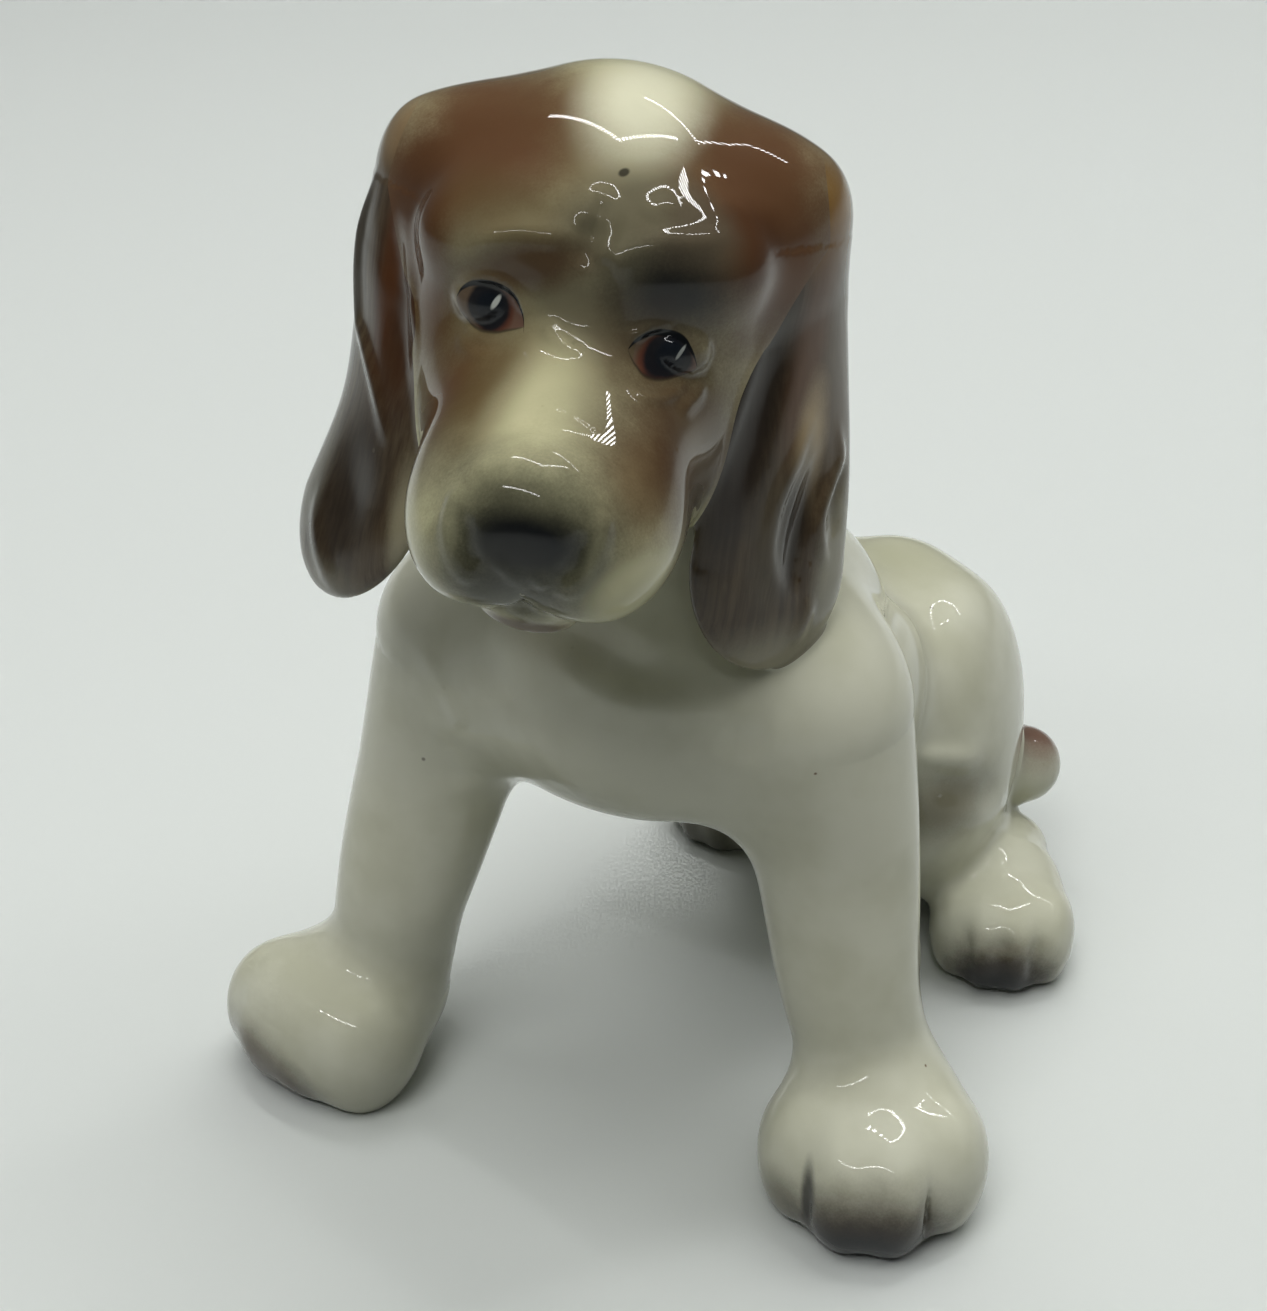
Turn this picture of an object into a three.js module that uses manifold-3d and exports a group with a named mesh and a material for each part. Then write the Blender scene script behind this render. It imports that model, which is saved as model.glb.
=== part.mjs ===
// Seated long-eared puppy figurine in glazed porcelain: nine castings joined with slip.
// Millimetres, +Z up. The dog faces -Y and its left side is +X.
import * as THREE from "three";
import { mergeVertices } from "three/addons/utils/BufferGeometryUtils.js";
import Module from "manifold-3d";

// Whole figure
const SEAM = 0.3;                 // slip seam left between two castings
const HEAD_HEIGHT = 108.5;        // middle of the skull above the table
const HEAD_FORWARD = 6;           // middle of the skull ahead of the ribcage
const CHEST_HEIGHT = 59.7;        // middle of the ribcage above the table
const BODY_LONG = 50;             // middle of the ribcage to middle of the rump
const REAR_LEAN = 10.6;           // the rump sits this far to the dog's left of the ribcage
const STANCE_RIGHT = 28.3;        // right wrist out from the ribcage
const STANCE_LEFT = 30.5;         // left wrist out from the ribcage
const REACH_RIGHT = 13;           // right wrist ahead of the ribcage
const REACH_LEFT = 5.5;           // left wrist ahead of the ribcage

// Head
const SKULL_WIDTH = 43;
const SKULL_DEPTH = 46;
const SKULL_TALL = 46;
const HEAD_TURN = 21;             // degrees, face toward the dog's left
const HEAD_LIFT = 9;              // degrees, nose up
const HEAD_TILT = 7;              // degrees, left ear down
const STOP_INSET = 3;             // the stop lies this far behind the front of the skull
const MUZZLE_LONG = 25;           // stop to nose tip
const MUZZLE_WIDTH = 26;
const NOSE_WIDTH = 12;
const NOSE_DROP = 12.5;           // nose tip below the middle of the skull
const CHEEK_WIDTH = 33;
const EYE_SPACING = 17.5;
const EYE_UNEVEN = 2.2;           // the right eye is set this much higher than the left

// Ears
const EAR_LONG = 52.4;
const EAR_WIDTH = 23.2;
const EAR_THICK = 7.2;            // at the root; the flap is thinner further down
const EAR_TOP = 15.5;             // top of the root above the middle of the skull
const EAR_FOLD = 0.6;             // swing of the folds toward the hem
const EAR_UNEVEN = 1.5;           // the right ear is this much shorter
const HEM_SLOPE = 0.25;           // the front edge of the flap is shorter than the back edge

// Torso
const CHEST_WIDTH = 53;
const CHEST_DEPTH = 38;
const CHEST_TALL = 38;
const NECK_WIDTH = 32;
const BELLY_WIDTH = 42;
const BELLY_TALL = 38;
const RUMP_WIDTH = 38;
const RUMP_TALL = 54;
const SEAT_PRESS = 2;             // the rump is pressed this far flat on the table

// Legs and tail
const SHOULDER_WIDTH = 25;
const FORELEG_WIDTH = 17;
const WRIST_HEIGHT = 24;
const LOCK_LONG = 13;             // one lock of feathering behind a foreleg
const PAW_WIDTH = 28;
const PAW_LONG = 26;
const PAW_TALL = 19.5;
const PAW_TURN_RIGHT = 22;        // degrees, right forepaw turned out
const PAW_TURN_LEFT = 20;         // degrees, left forepaw turned out
const THIGH_WIDTH = 20;
const THIGH_LONG = 34;
const THIGH_TALL = 44;
const HIND_PAW_WIDTH = 20;
const HIND_PAW_LONG = 23;
const HIND_PAW_TALL = 15;
const HIND_STANCE_LEFT = 22.4;    // left hind heel out from the rump
const HIND_STANCE_RIGHT = 20.6;   // right hind heel out from the rump
const HIND_TURN_LEFT = 18;        // degrees, left hind paw turned out
const HIND_TURN_RIGHT = 8;        // degrees, right hind paw turned out
const TAIL_WIDTH = 12;
const TAIL_LONG = 13.5;

// Points are short arrays of three numbers.
const add = (a, b) => [a[0] + b[0], a[1] + b[1], a[2] + b[2]];
const sub = (a, b) => [a[0] - b[0], a[1] - b[1], a[2] - b[2]];
const mul = (a, s) => [a[0] * s, a[1] * s, a[2] * s];
const dot = (a, b) => a[0] * b[0] + a[1] * b[1] + a[2] * b[2];
const len = (a) => Math.hypot(a[0], a[1], a[2]);
const unit = (a) => mul(a, 1 / len(a));
const cross = (a, b) => [
  a[1] * b[2] - a[2] * b[1],
  a[2] * b[0] - a[0] * b[2],
  a[0] * b[1] - a[1] * b[0],
];
const mix = (a, b, t) => a + (b - a) * t;
const mixPoint = (a, b, t) => add(a, mul(sub(b, a), t));
const clamp = (x, low, high) => Math.min(high, Math.max(low, x));
const radians = (degrees) => (degrees * Math.PI) / 180;

// Rows of a turn in degrees: first about Y, then about X, then about Z.
function turnRows(aboutX, aboutY, aboutZ) {
  const order = new THREE.Euler(radians(aboutX), radians(aboutY), radians(aboutZ), "ZXY");
  const m = new THREE.Matrix4().makeRotationFromEuler(order).elements;
  return [[m[0], m[4], m[8]], [m[1], m[5], m[9]], [m[2], m[6], m[10]]];
}
const applyTurn = (rows, p) => [dot(rows[0], p), dot(rows[1], p), dot(rows[2], p)];
const undoTurn = (rows, p) => add(add(mul(rows[0], p[0]), mul(rows[1], p[1])), mul(rows[2], p[2]));

// Clay masses. Each gives the distance to its skin in mm, negative inside the clay.
function lump(centre, radii, turn = [0, 0, 0]) {
  const rows = turnRows(...turn);
  return (p) => {
    const q = undoTurn(rows, sub(p, centre));
    const near = Math.hypot(q[0] / radii[0], q[1] / radii[1], q[2] / radii[2]);
    const slope = Math.hypot(q[0] / radii[0] ** 2, q[1] / radii[1] ** 2, q[2] / radii[2] ** 2);
    return slope < 1e-9 ? -Math.min(...radii) : (near * (near - 1)) / slope;
  };
}

function limb(from, to, radiusFrom, radiusTo) {
  const axis = sub(to, from);
  const square = dot(axis, axis);
  return (p) => {
    const t = clamp(dot(sub(p, from), axis) / square, 0, 1);
    return len(sub(p, mixPoint(from, to, t))) - mix(radiusFrom, radiusTo, t);
  };
}

// A standing roll of clay whose middle and radius run smoothly with height, from the top down.
function column(points, radii) {
  const steps = 64;
  const run = (list) => new THREE.CatmullRomCurve3(
    list.map((p) => new THREE.Vector3(...p)), false, "catmullrom", 0.5,
  );
  const middles = run(points);
  const widths = run(radii.map((radius) => [radius, 0, 0]));
  const table = [];
  for (let i = 0; i <= steps; i += 1) {
    table.push({ at: middles.getPoint(i / steps).toArray(), radius: widths.getPoint(i / steps).x });
  }
  return (p) => {
    let i = 0;
    while (i < steps - 1 && table[i + 1].at[2] > p[2]) i += 1;
    const [a, b] = [table[i], table[i + 1]];
    const t = clamp((p[2] - a.at[2]) / (b.at[2] - a.at[2]), 0, 1);
    const middle = mixPoint(a.at, b.at, t);
    const lean = len(sub(b.at, a.at)) / Math.abs(b.at[2] - a.at[2]);
    const flat = Math.hypot(p[0] - middle[0], p[1] - middle[1]) / lean;
    return Math.hypot(flat, p[2] - middle[2]) - mix(a.radius, b.radius, t);
  };
}

// Two masses joined with a fillet about `k` wide, as a thumb smooths clay.
function smooth(a, b, k) {
  const overlap = Math.max(k - Math.abs(a - b), 0) / k;
  return Math.min(a, b) - (overlap * overlap * k) / 4;
}

function blend(k, ...masses) {
  return (p) => masses.reduce((f, mass) => smooth(f, mass(p), k), 1e3);
}
const pair = (make) => [make(-1), make(1)];

// The head's own frame: X to its left, Y to the back, Z up, from the middle of the skull.
const chest = [-3, -11, CHEST_HEIGHT];
const headCentre = [chest[0] - 1, chest[1] - HEAD_FORWARD, HEAD_HEIGHT];
const headRows = turnRows(-HEAD_LIFT, HEAD_TILT, HEAD_TURN);
const toHead = (p) => undoTurn(headRows, sub(p, headCentre));
const fromHead = (p) => add(headCentre, applyTurn(headRows, p));
const inHead = (mass) => (p) => mass(toHead(p));

const skullSide = SKULL_WIDTH / 2;
const skullFront = SKULL_DEPTH / 2;
const eyeSide = EYE_SPACING / 2;
const muzzleSide = MUZZLE_WIDTH / 2;
const stop = [0, STOP_INSET - skullFront, 0];
const noseTip = [0, stop[1] - MUZZLE_LONG, -NOSE_DROP];

// Numbers of the head's clay, which grow with the skull.
const headUnit = SKULL_TALL / 46;
const inSkull = (...numbers) => numbers.map((n) => n * headUnit);

function headClay() {
  const h = headUnit;
  const skull = lump(inSkull(0, 1.5, 1), [skullSide, skullFront, SKULL_TALL / 2]);
  const temples = pair((s) => lump([s * (skullSide - 9 * h), 1.5 * h, 10 * h], inSkull(9, 12, 9.5)));
  const brows = pair((s) => lump(add([s * eyeSide, stop[1], 0], inSkull(0, 5.5, 7.5)), inSkull(8, 6, 4.6)));
  const cheeks = pair((s) => lump([s * (CHEEK_WIDTH / 2 - 9 * h), -9 * h, -12 * h], inSkull(8.5, 12, 12)));
  const muzzleRoot = (s) => [s * (muzzleSide - 6.5 * h), stop[1] - 2 * h, -13 * h];
  const sides = pair((s) => lump(muzzleRoot(s), inSkull(6.5, 12, 8.5)));
  const bridgeRoot = add(stop, inSkull(0, 3, -8.5));
  const bridge = limb(bridgeRoot, add(noseTip, inSkull(0, 9.3, -1.2)), 9 * h, 8.4 * h);
  const flew = (s) => [s * (muzzleSide - 7 * h), noseTip[1] + 12.5 * h, noseTip[2] - 4.1 * h];
  const flews = pair((s) => lump(flew(s), inSkull(6.8, 10.8, 7.4)));
  const nose = lump(add(noseTip, inSkull(0, 4, 0.5)), [NOSE_WIDTH / 2, 4 * h, 5 * h]);
  const jaw = lump(add(noseTip, inSkull(0, 19, -9.5)), inSkull(7.5, 12.5, 5));
  const eyes = pair((s) => lump(
    [s * eyeSide, stop[1] + 1.9 * h, (h - s * EYE_UNEVEN) / 2],
    inSkull(3.7, 3.2, 3),
  ));
  const muzzle = blend(4 * h, bridge, ...flews);
  const face = blend(7 * h, blend(4 * h, skull, ...temples), ...brows, ...cheeks, ...sides, muzzle);
  return blend(1.5 * h, blend(4 * h, face, nose), jaw, ...eyes);
}

// An ear is a flat flap. Each station down it has its share of the length, the middle of
// the flap out from the side of the skull and back, its share of the width and of the
// thickness, and how far the flap is turned from facing forward to facing sideways.
function earStations(s) {
  const long = s > 0 ? EAR_LONG : EAR_LONG - EAR_UNEVEN;
  const rows = s > 0 ? [
    [0.115, -1.3, 1.5, 0.52, 1, 70],
    [0.21, -0.3, -1.2, 0.67, 0.94, 64],
    [0.296, -0.3, -2.6, 0.79, 0.86, 60],
    [0.43, -0.1, -4.6, 0.93, 0.8, 56],
    [0.582, 0.4, -6, 1, 0.8, 52],
    [0.782, 0.7, -7.2, 0.98, 0.86, 46],
  ] : [
    [0.118, -0.5, 1.5, 0.52, 1, 70],
    [0.216, 0.8, -1.2, 0.67, 0.94, 64],
    [0.305, 0.7, -2.8, 0.78, 0.86, 60],
    [0.442, -0.7, -4.6, 0.88, 0.8, 56],
    [0.599, -0.7, -6.2, 0.95, 0.8, 52],
    [0.776, 0.8, -7.4, 0.97, 0.86, 46],
  ];
  return rows.map(([share, out, back, width, thick, turn]) => ({
    at: [s * (skullSide + out * headUnit), back * headUnit, EAR_TOP * headUnit - share * long],
    half: (width * EAR_WIDTH) / 2,
    thick: (thick * EAR_THICK) / 2,
    turn,
  }));
}

function earClay(s) {
  const run = earStations(s);
  const last = run.length - 1;
  return (p) => {
    // The hem slopes, so a level across the flap is lower at its back edge.
    const level = p[2] + HEM_SLOPE * s * (p[0] - run[last].at[0]);
    let i = 0;
    while (i < last - 1 && level < run[i + 1].at[2]) i += 1;
    const t = clamp((level - run[i].at[2]) / (run[i + 1].at[2] - run[i].at[2]), 0, 1);
    const middle = mixPoint(run[i].at, run[i + 1].at, t);
    const turn = radians(mix(run[i].turn, run[i + 1].turn, t));
    const half = mix(run[i].half, run[i + 1].half, t);
    const thick = mix(run[i].thick, run[i + 1].thick, t);
    const back = [s * Math.cos(turn), Math.sin(turn), 0];
    const out = [s * Math.sin(turn), -Math.cos(turn), 0];
    const q = sub(p, middle);
    const across = dot(q, back) / half;
    const lowness = (i + t) / last;
    const through = dot(q, out) + EAR_FOLD * lowness * Math.cos(across * 4.2);
    const near = Math.hypot(across, through / thick, (level - middle[2]) / half);
    return (near - 1) * thick;
  };
}

// Torso: ribcage, belly and rump, with the neck standing in the skull.
const chestUnit = CHEST_WIDTH / 53;
const inChest = (...numbers) => numbers.map((n) => n * chestUnit);
const rump = [chest[0] + REAR_LEAN, chest[1] + BODY_LONG, RUMP_TALL / 2 - SEAT_PRESS];
const belly = add(mixPoint(chest, rump, 0.47), inChest(0, 0, 3));
const withers = add(chest, inChest(4, 15, 3));
const neckTop = add(headCentre, inSkull(0, 4, -12));

function torsoClay() {
  const neck = NECK_WIDTH / 16;
  return blend(
    10 * chestUnit,
    lump(chest, [CHEST_WIDTH / 2, CHEST_DEPTH / 2, CHEST_TALL / 2]),
    lump(belly, [BELLY_WIDTH / 2, BODY_LONG * 0.52, BELLY_TALL / 2], [-33, 0, -9]),
    lump(rump, [RUMP_WIDTH / 2, RUMP_WIDTH / 2, RUMP_TALL / 2], [-16, 0, -8]),
    lump(withers, inChest(17.5, 15, 12)),
    limb(add(chest, inChest(0, 3, 6)), neckTop, 9 * neck, 6.8 * neck),
  );
}

// The way that something on the table points, `heading` degrees from -Y toward +X.
const ahead = (heading) => [Math.sin(radians(heading)), -Math.cos(radians(heading)), 0];

// A paw: a pad and four toes, its ankle above `heel`. `reach` gives how far the inner and
// the outer toes stand ahead, as shares of its length.
function pawClay(heel, heading, wide, long, tall, reach) {
  const way = ahead(heading);
  const across = [-way[1], way[0], 0];
  const turn = [0, 0, heading];
  const place = (forward, sideways, up) =>
    add(heel, add(add(mul(way, forward), mul(across, sideways)), [0, 0, up]));
  const pad = lump(place(long * 0.3, 0, tall * 0.44), [wide * 0.45, long * 0.43, tall * 0.5], turn);
  const toes = [-1.5, -0.5, 0.5, 1.5].map((n) => {
    const forward = Math.abs(n) < 1 ? reach[0] : reach[1];
    const radii = [wide * 0.15, long * 0.22, tall * 0.4];
    return lump(place(long * forward, n * wide * 0.215, tall * 0.36), radii, turn);
  });
  return blend(wide / 6, pad, ...toes);
}

// A block that starts at a flat saw face and holds all that lies beyond it.
function sawBlock(face, way, halfWide, halfTall, up) {
  const across = unit(cross(up, way));
  const tall = cross(way, across);
  const half = [halfWide, halfTall, 45];
  const middle = add(face, mul(way, half[2]));
  const field = (p) => {
    const q = sub(p, middle);
    const parts = [dot(q, across), dot(q, tall), dot(q, way)];
    return Math.max(...parts.map((value, i) => Math.abs(value) - half[i]));
  };
  const solid = (grow) => {
    const box = new THREE.BoxGeometry(...half.map((value) => 2 * (value + grow)));
    const axes = [across, tall, way].map((v) => new THREE.Vector3(...v));
    box.applyMatrix4(new THREE.Matrix4().makeBasis(...axes).setPosition(...middle));
    return plainSolid(box);
  };
  return { field, solid };
}

function foreleg(s, wrist, heel, heading, toeReach) {
  const shoulder = add(chest, [s * (CHEST_WIDTH / 2 - SHOULDER_WIDTH * 0.22), -chestUnit, -chestUnit / 2]);
  const legUnit = FORELEG_WIDTH / 17;
  const elbow = add(mixPoint(shoulder, wrist, 0.48), [s * legUnit, 0.6 * legUnit, 0]);
  const ankle = add(heel, [0, 0, PAW_TALL / 2]);
  const radii = [SHOULDER_WIDTH / 2, 9.7 * legUnit, 8.3 * legUnit, 7.9 * legUnit];
  const clay = column([shoulder, elbow, wrist, ankle], radii);
  // Three soft locks of feathering hang behind the leg.
  const locks = [0.25, 0.58, 0.9].map((share) => {
    const at = mixPoint(elbow, add(wrist, [0, 0, -3 * legUnit]), share);
    const lock = [2 * legUnit, 2.6 * legUnit, LOCK_LONG / 2];
    return lump(add(at, [s * 4 * legUnit, 6.8 * legUnit, 0]), lock, [0, 0, -s * 25]);
  });
  const paw = pawClay(heel, heading, PAW_WIDTH, PAW_LONG, PAW_TALL, toeReach);
  const field = blend(2.5, blend(5, clay, paw), ...locks);
  const pawMiddle = add(heel, add(mul(ahead(heading), PAW_LONG * 0.3), [0, 0, PAW_TALL * 0.42]));
  const top = mixPoint(shoulder, elbow, 0.62);
  const blockHalf = SHOULDER_WIDTH * 0.68;
  const block = sawBlock(top, unit(sub(wrist, top)), blockHalf, blockHalf, [0, 1, 0]);
  const spine = [
    mixPoint(shoulder, elbow, 0.75),
    mixPoint(elbow, wrist, 0.4),
    add(wrist, [0, 0, -2]),
    pawMiddle,
  ];
  return { field, block, plan: { spine, rings: 17, around: 30, cap: 6, side: [1, 0, 0] } };
}

// A haunch with its hock and long hind paw. `inset` and `slant` place the saw face.
function hindLeg(s, hip, heel, heading, inset, slant) {
  const way = ahead(heading);
  const hockHeight = HIND_PAW_TALL / 2;
  const thigh = lump(hip, [THIGH_WIDTH / 2, THIGH_LONG / 2, THIGH_TALL / 2], [-14, 0, heading * 0.5]);
  const hockBack = add(heel, add(mul(way, -HIND_PAW_LONG * 0.26), [0, 0, hockHeight]));
  const hock = limb(hockBack, add(heel, [0, 0, hockHeight]), HIND_PAW_WIDTH * 0.3, HIND_PAW_WIDTH * 0.34);
  const paw = pawClay(heel, heading, HIND_PAW_WIDTH, HIND_PAW_LONG, HIND_PAW_TALL, [0.58, 0.47]);
  const field = blend(4, thigh, blend(4, hock, paw));
  const pawMiddle = add(heel, add(mul(way, HIND_PAW_LONG * 0.25), [0, 0, HIND_PAW_TALL * 0.45]));
  const block = sawBlock(add(hip, [-s * inset, 0, 0]), unit([s, slant, -0.2]), 26, 60, [0, 0, 1]);
  const spine = [
    add(hip, [s * 2, 2, THIGH_TALL / 4]),
    add(hip, [s * 2, 0, 0]),
    mixPoint(hip, pawMiddle, 0.62),
    pawMiddle,
  ];
  return { field, block, plan: { spine, rings: 13, around: 30, cap: 6, side: [1, 0, 0] } };
}

const wristRight = [chest[0] - STANCE_RIGHT, chest[1] - REACH_RIGHT, WRIST_HEIGHT];
const wristLeft = [chest[0] + STANCE_LEFT, chest[1] - REACH_LEFT, WRIST_HEIGHT];
const pawUnit = PAW_LONG / 26;
const heelRight = [wristRight[0] - 5 * pawUnit, wristRight[1], 0];
const heelLeft = [wristLeft[0] + 3.5 * pawUnit, wristLeft[1] + 1.5 * pawUnit, 0];
// Numbers of the hindquarters, which grow with the rump.
const rumpUnit = RUMP_WIDTH / 38;
const inRump = (...numbers) => numbers.map((n) => n * rumpUnit);
const hipLeft = add(rump, inRump(12, -4, 3));
const hipRight = add(rump, inRump(-13, 0, 3));
const hindHeelLeft = [rump[0] + HIND_STANCE_LEFT, rump[1] - 4 * rumpUnit, 0];
const hindHeelRight = [rump[0] - HIND_STANCE_RIGHT, rump[1] + 10 * rumpUnit, 0];
const legs = {
  foreleg_left: foreleg(1, wristLeft, heelLeft, PAW_TURN_LEFT, [0.66, 0.46]),
  foreleg_right: foreleg(-1, wristRight, heelRight, -PAW_TURN_RIGHT, [0.53, 0.5]),
  hind_leg_left: hindLeg(1, hipLeft, hindHeelLeft, HIND_TURN_LEFT, 3.5 * rumpUnit, 0.3),
  hind_leg_right: hindLeg(-1, hipRight, hindHeelRight, -HIND_TURN_RIGHT, 0.5 * rumpUnit, 0.5),
};

// The tail is a short tuft, curled against the left haunch.
const tailRoot = add(rump, inRump(8.5, 14, -11.5));
const tailTip = add(tailRoot, mul(unit([10.3, -5, 4.5]), TAIL_LONG));
const tail = {
  field: limb(tailRoot, tailTip, TAIL_WIDTH / 2, TAIL_WIDTH * 0.46),
  plan: { spine: [tailRoot, tailTip], rings: 5, around: 18, cap: 4, side: [0, 0, 1] },
};

// From `from` along `way`, the first point where the clay ends.
function findSkin(field, from, way) {
  const step = 0.75;
  const reach = 80;
  let inside = 0;
  let outside = step;
  while (outside < reach && field(add(from, mul(way, outside))) < 0) {
    inside = outside;
    outside += step;
  }
  for (let i = 0; i < 22; i += 1) {
    const middle = (inside + outside) / 2;
    if (field(add(from, mul(way, middle))) < 0) inside = middle;
    else outside = middle;
  }
  return add(from, mul(way, (inside + outside) / 2));
}

// Stations and headings along a smooth curve through the spine points.
function stations(points, rings) {
  const curve = new THREE.CatmullRomCurve3(points.map((p) => new THREE.Vector3(...p)), false, "centripetal");
  const out = [];
  for (let k = 0; k < rings; k += 1) {
    const share = k / (rings - 1);
    out.push({ at: curve.getPointAt(share).toArray(), way: curve.getTangentAt(share).toArray() });
  }
  return out;
}

// A loft: rings around a spine, each point of a ring found on the clay, closed by a fan at each end.
function loft(field, { spine, rings, around, cap, side }, grow) {
  const grown = (p) => field(p) - grow;
  const path = stations(spine, rings);
  const start = path[0];
  const end = path[path.length - 1];
  const rows = [];
  for (let k = 1; k < cap; k += 1) rows.push({ ...start, lean: (k / cap - 1) * 90 });
  path.forEach((station) => rows.push({ ...station, lean: 0 }));
  for (let k = 1; k < cap; k += 1) rows.push({ ...end, lean: (k / cap) * 90 });
  const points = [findSkin(grown, start.at, mul(start.way, -1))];
  for (const { at, way, lean } of rows) {
    const across = unit(sub(side, mul(way, dot(side, way))));
    const up = cross(way, across);
    for (let j = 0; j < around; j += 1) {
      const turn = (j / around) * Math.PI * 2;
      const out = add(mul(across, Math.cos(turn)), mul(up, Math.sin(turn)));
      const ray = add(mul(out, Math.cos(radians(lean))), mul(way, Math.sin(radians(lean))));
      points.push(findSkin(grown, at, ray));
    }
  }
  points.push(findSkin(grown, end.at, end.way));
  const faces = [];
  const pole = points.length - 1;
  const at = (row, j) => 1 + row * around + (j % around);
  for (let j = 0; j < around; j += 1) {
    faces.push([0, at(0, j + 1), at(0, j)]);
    for (let row = 0; row + 1 < rows.length; row += 1) {
      faces.push([at(row, j), at(row, j + 1), at(row + 1, j + 1)]);
      faces.push([at(row, j), at(row + 1, j + 1), at(row + 1, j)]);
    }
    faces.push([at(rows.length - 1, j), at(rows.length - 1, j + 1), pole]);
  }
  return { points, faces };
}

const headSide = sub(fromHead([1, 0, 0]), headCentre);
const headPlan = {
  spine: [
    fromHead([0, 5, 0]),
    fromHead([0, stop[1] + 8, -2]),
    fromHead([0, stop[1] - 6, -10]),
    fromHead(add(noseTip, [0, 10, -2.5])),
  ],
  rings: 19,
  around: 48,
  cap: 8,
  side: headSide,
};
const earPlan = (s) => ({
  spine: earStations(s).map(({ at }) => fromHead(at)),
  rings: 14,
  around: 32,
  cap: 5,
  side: headSide,
});
const torsoPlan = {
  spine: [
    add(neckTop, [0, -4, 0]),
    add(chest, [0, -3, 8]),
    add(chest, [1, 8, -12]),
    add(rump, [-1, -12, 2]),
    add(rump, [0, 1, -2]),
  ],
  rings: 22,
  around: 40,
  cap: 6,
  side: [1, 0, 0],
};

// The trunk and the legs are one smooth skin. The saw blocks part it into castings.
const trunk = torsoClay();
function body(p) {
  const forelegs = smooth(smooth(trunk(p), legs.foreleg_left.field(p), 8), legs.foreleg_right.field(p), 8);
  return smooth(smooth(forelegs, legs.hind_leg_left.field(p), 6), legs.hind_leg_right.field(p), 6);
}
const SPARE = 4;                  // clay left past a saw face, to be sawn off cleanly
const trunkOnly = (p) => Math.max(body(p), ...Object.values(legs).map((leg) => -leg.block.field(p) - SPARE));
const legOnly = (leg) => (p) => Math.max(body(p), leg.block.field(p) - SPARE);

const castings = {
  torso: { field: trunkOnly, plan: torsoPlan },
  head: { field: inHead(headClay()), plan: headPlan },
  ear_left: { field: inHead(earClay(1)), plan: earPlan(1) },
  ear_right: { field: inHead(earClay(-1)), plan: earPlan(-1) },
  foreleg_left: { field: legOnly(legs.foreleg_left), plan: legs.foreleg_left.plan },
  foreleg_right: { field: legOnly(legs.foreleg_right), plan: legs.foreleg_right.plan },
  hind_leg_left: { field: legOnly(legs.hind_leg_left), plan: legs.hind_leg_left.plan },
  hind_leg_right: { field: legOnly(legs.hind_leg_right), plan: legs.hind_leg_right.plan },
  tail,
};

// Which neighbours each casting is fitted to.
const fittedTo = {
  torso: ["head", "ear_left", "ear_right"],
  ear_left: ["head"],
  ear_right: ["head"],
  tail: ["torso", "hind_leg_left"],
};

const wasm = await Module();
wasm.setup();

function toSolid(points, faces) {
  return new wasm.Manifold(new wasm.Mesh({
    numProp: 3,
    vertProperties: new Float32Array(points),
    triVerts: new Uint32Array(faces),
  }));
}

// A plain three.js shape, welded at its corners, as a solid for joining and cutting.
function plainSolid(shape) {
  shape.deleteAttribute("normal");
  shape.deleteAttribute("uv");
  const welded = mergeVertices(shape);
  return toSolid(welded.attributes.position.array, welded.index.array);
}

// The skin of a solid for three.js, without the slivers that have no width.
function toGeometry(solid) {
  const mesh = solid.getMesh();
  const geometry = new THREE.BufferGeometry();
  geometry.setAttribute("position", new THREE.BufferAttribute(new Float32Array(mesh.vertProperties), 3));
  geometry.setIndex(new THREE.BufferAttribute(new Uint32Array(mesh.triVerts), 1));
  const welded = mergeVertices(geometry, 1e-3);
  const corners = Array.from(welded.index.array);
  const kept = [];
  for (let i = 0; i < corners.length; i += 3) {
    const [a, b, c] = corners.slice(i, i + 3);
    if (a !== b && b !== c && c !== a) kept.push(a, b, c);
  }
  welded.setIndex(kept);
  welded.computeVertexNormals();
  return welded;
}

// The clay of one casting, grown by `grow` and sawn to its own side of every saw face.
function castingSolid(name, grow) {
  const { field, plan } = castings[name];
  const { points, faces } = loft(field, plan, grow);
  let solid = toSolid(points.flat(), faces.flat());
  if (name in legs) return solid.intersect(legs[name].block.solid(grow - SEAM / 2));
  if (name === "torso") {
    for (const leg of Object.values(legs)) solid = solid.subtract(leg.block.solid(SEAM / 2 - grow));
  }
  return solid;
}

// Everything under the table plane is cut away, so that the soles stand flat.
const slab = new THREE.BoxGeometry(400, 400, 60);
slab.translate(0, 0, -30);
const underTable = plainSolid(slab);

const CREAM = 0xe9e6da;
const BROWN = 0x7a4f3c;
const colours = { head: 0xc9a98a, ear_left: BROWN, ear_right: BROWN, tail: 0x8a5a48 };

const figure = new THREE.Group();
figure.name = "puppy_figurine";
for (const name of Object.keys(castings)) {
  let solid = castingSolid(name, 0).subtract(underTable);
  for (const neighbour of fittedTo[name] ?? []) solid = solid.subtract(castingSolid(neighbour, SEAM));
  const material = new THREE.MeshStandardMaterial({ color: colours[name] ?? CREAM, roughness: 0.2 });
  const mesh = new THREE.Mesh(toGeometry(solid), material);
  mesh.name = name;
  figure.add(mesh);
}

// The origin is moved to the middle of the footprint.
const middle = new THREE.Box3().setFromObject(figure).getCenter(new THREE.Vector3());
for (const mesh of figure.children) mesh.geometry.translate(-middle.x, -middle.y, 0);

export default figure;
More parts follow.
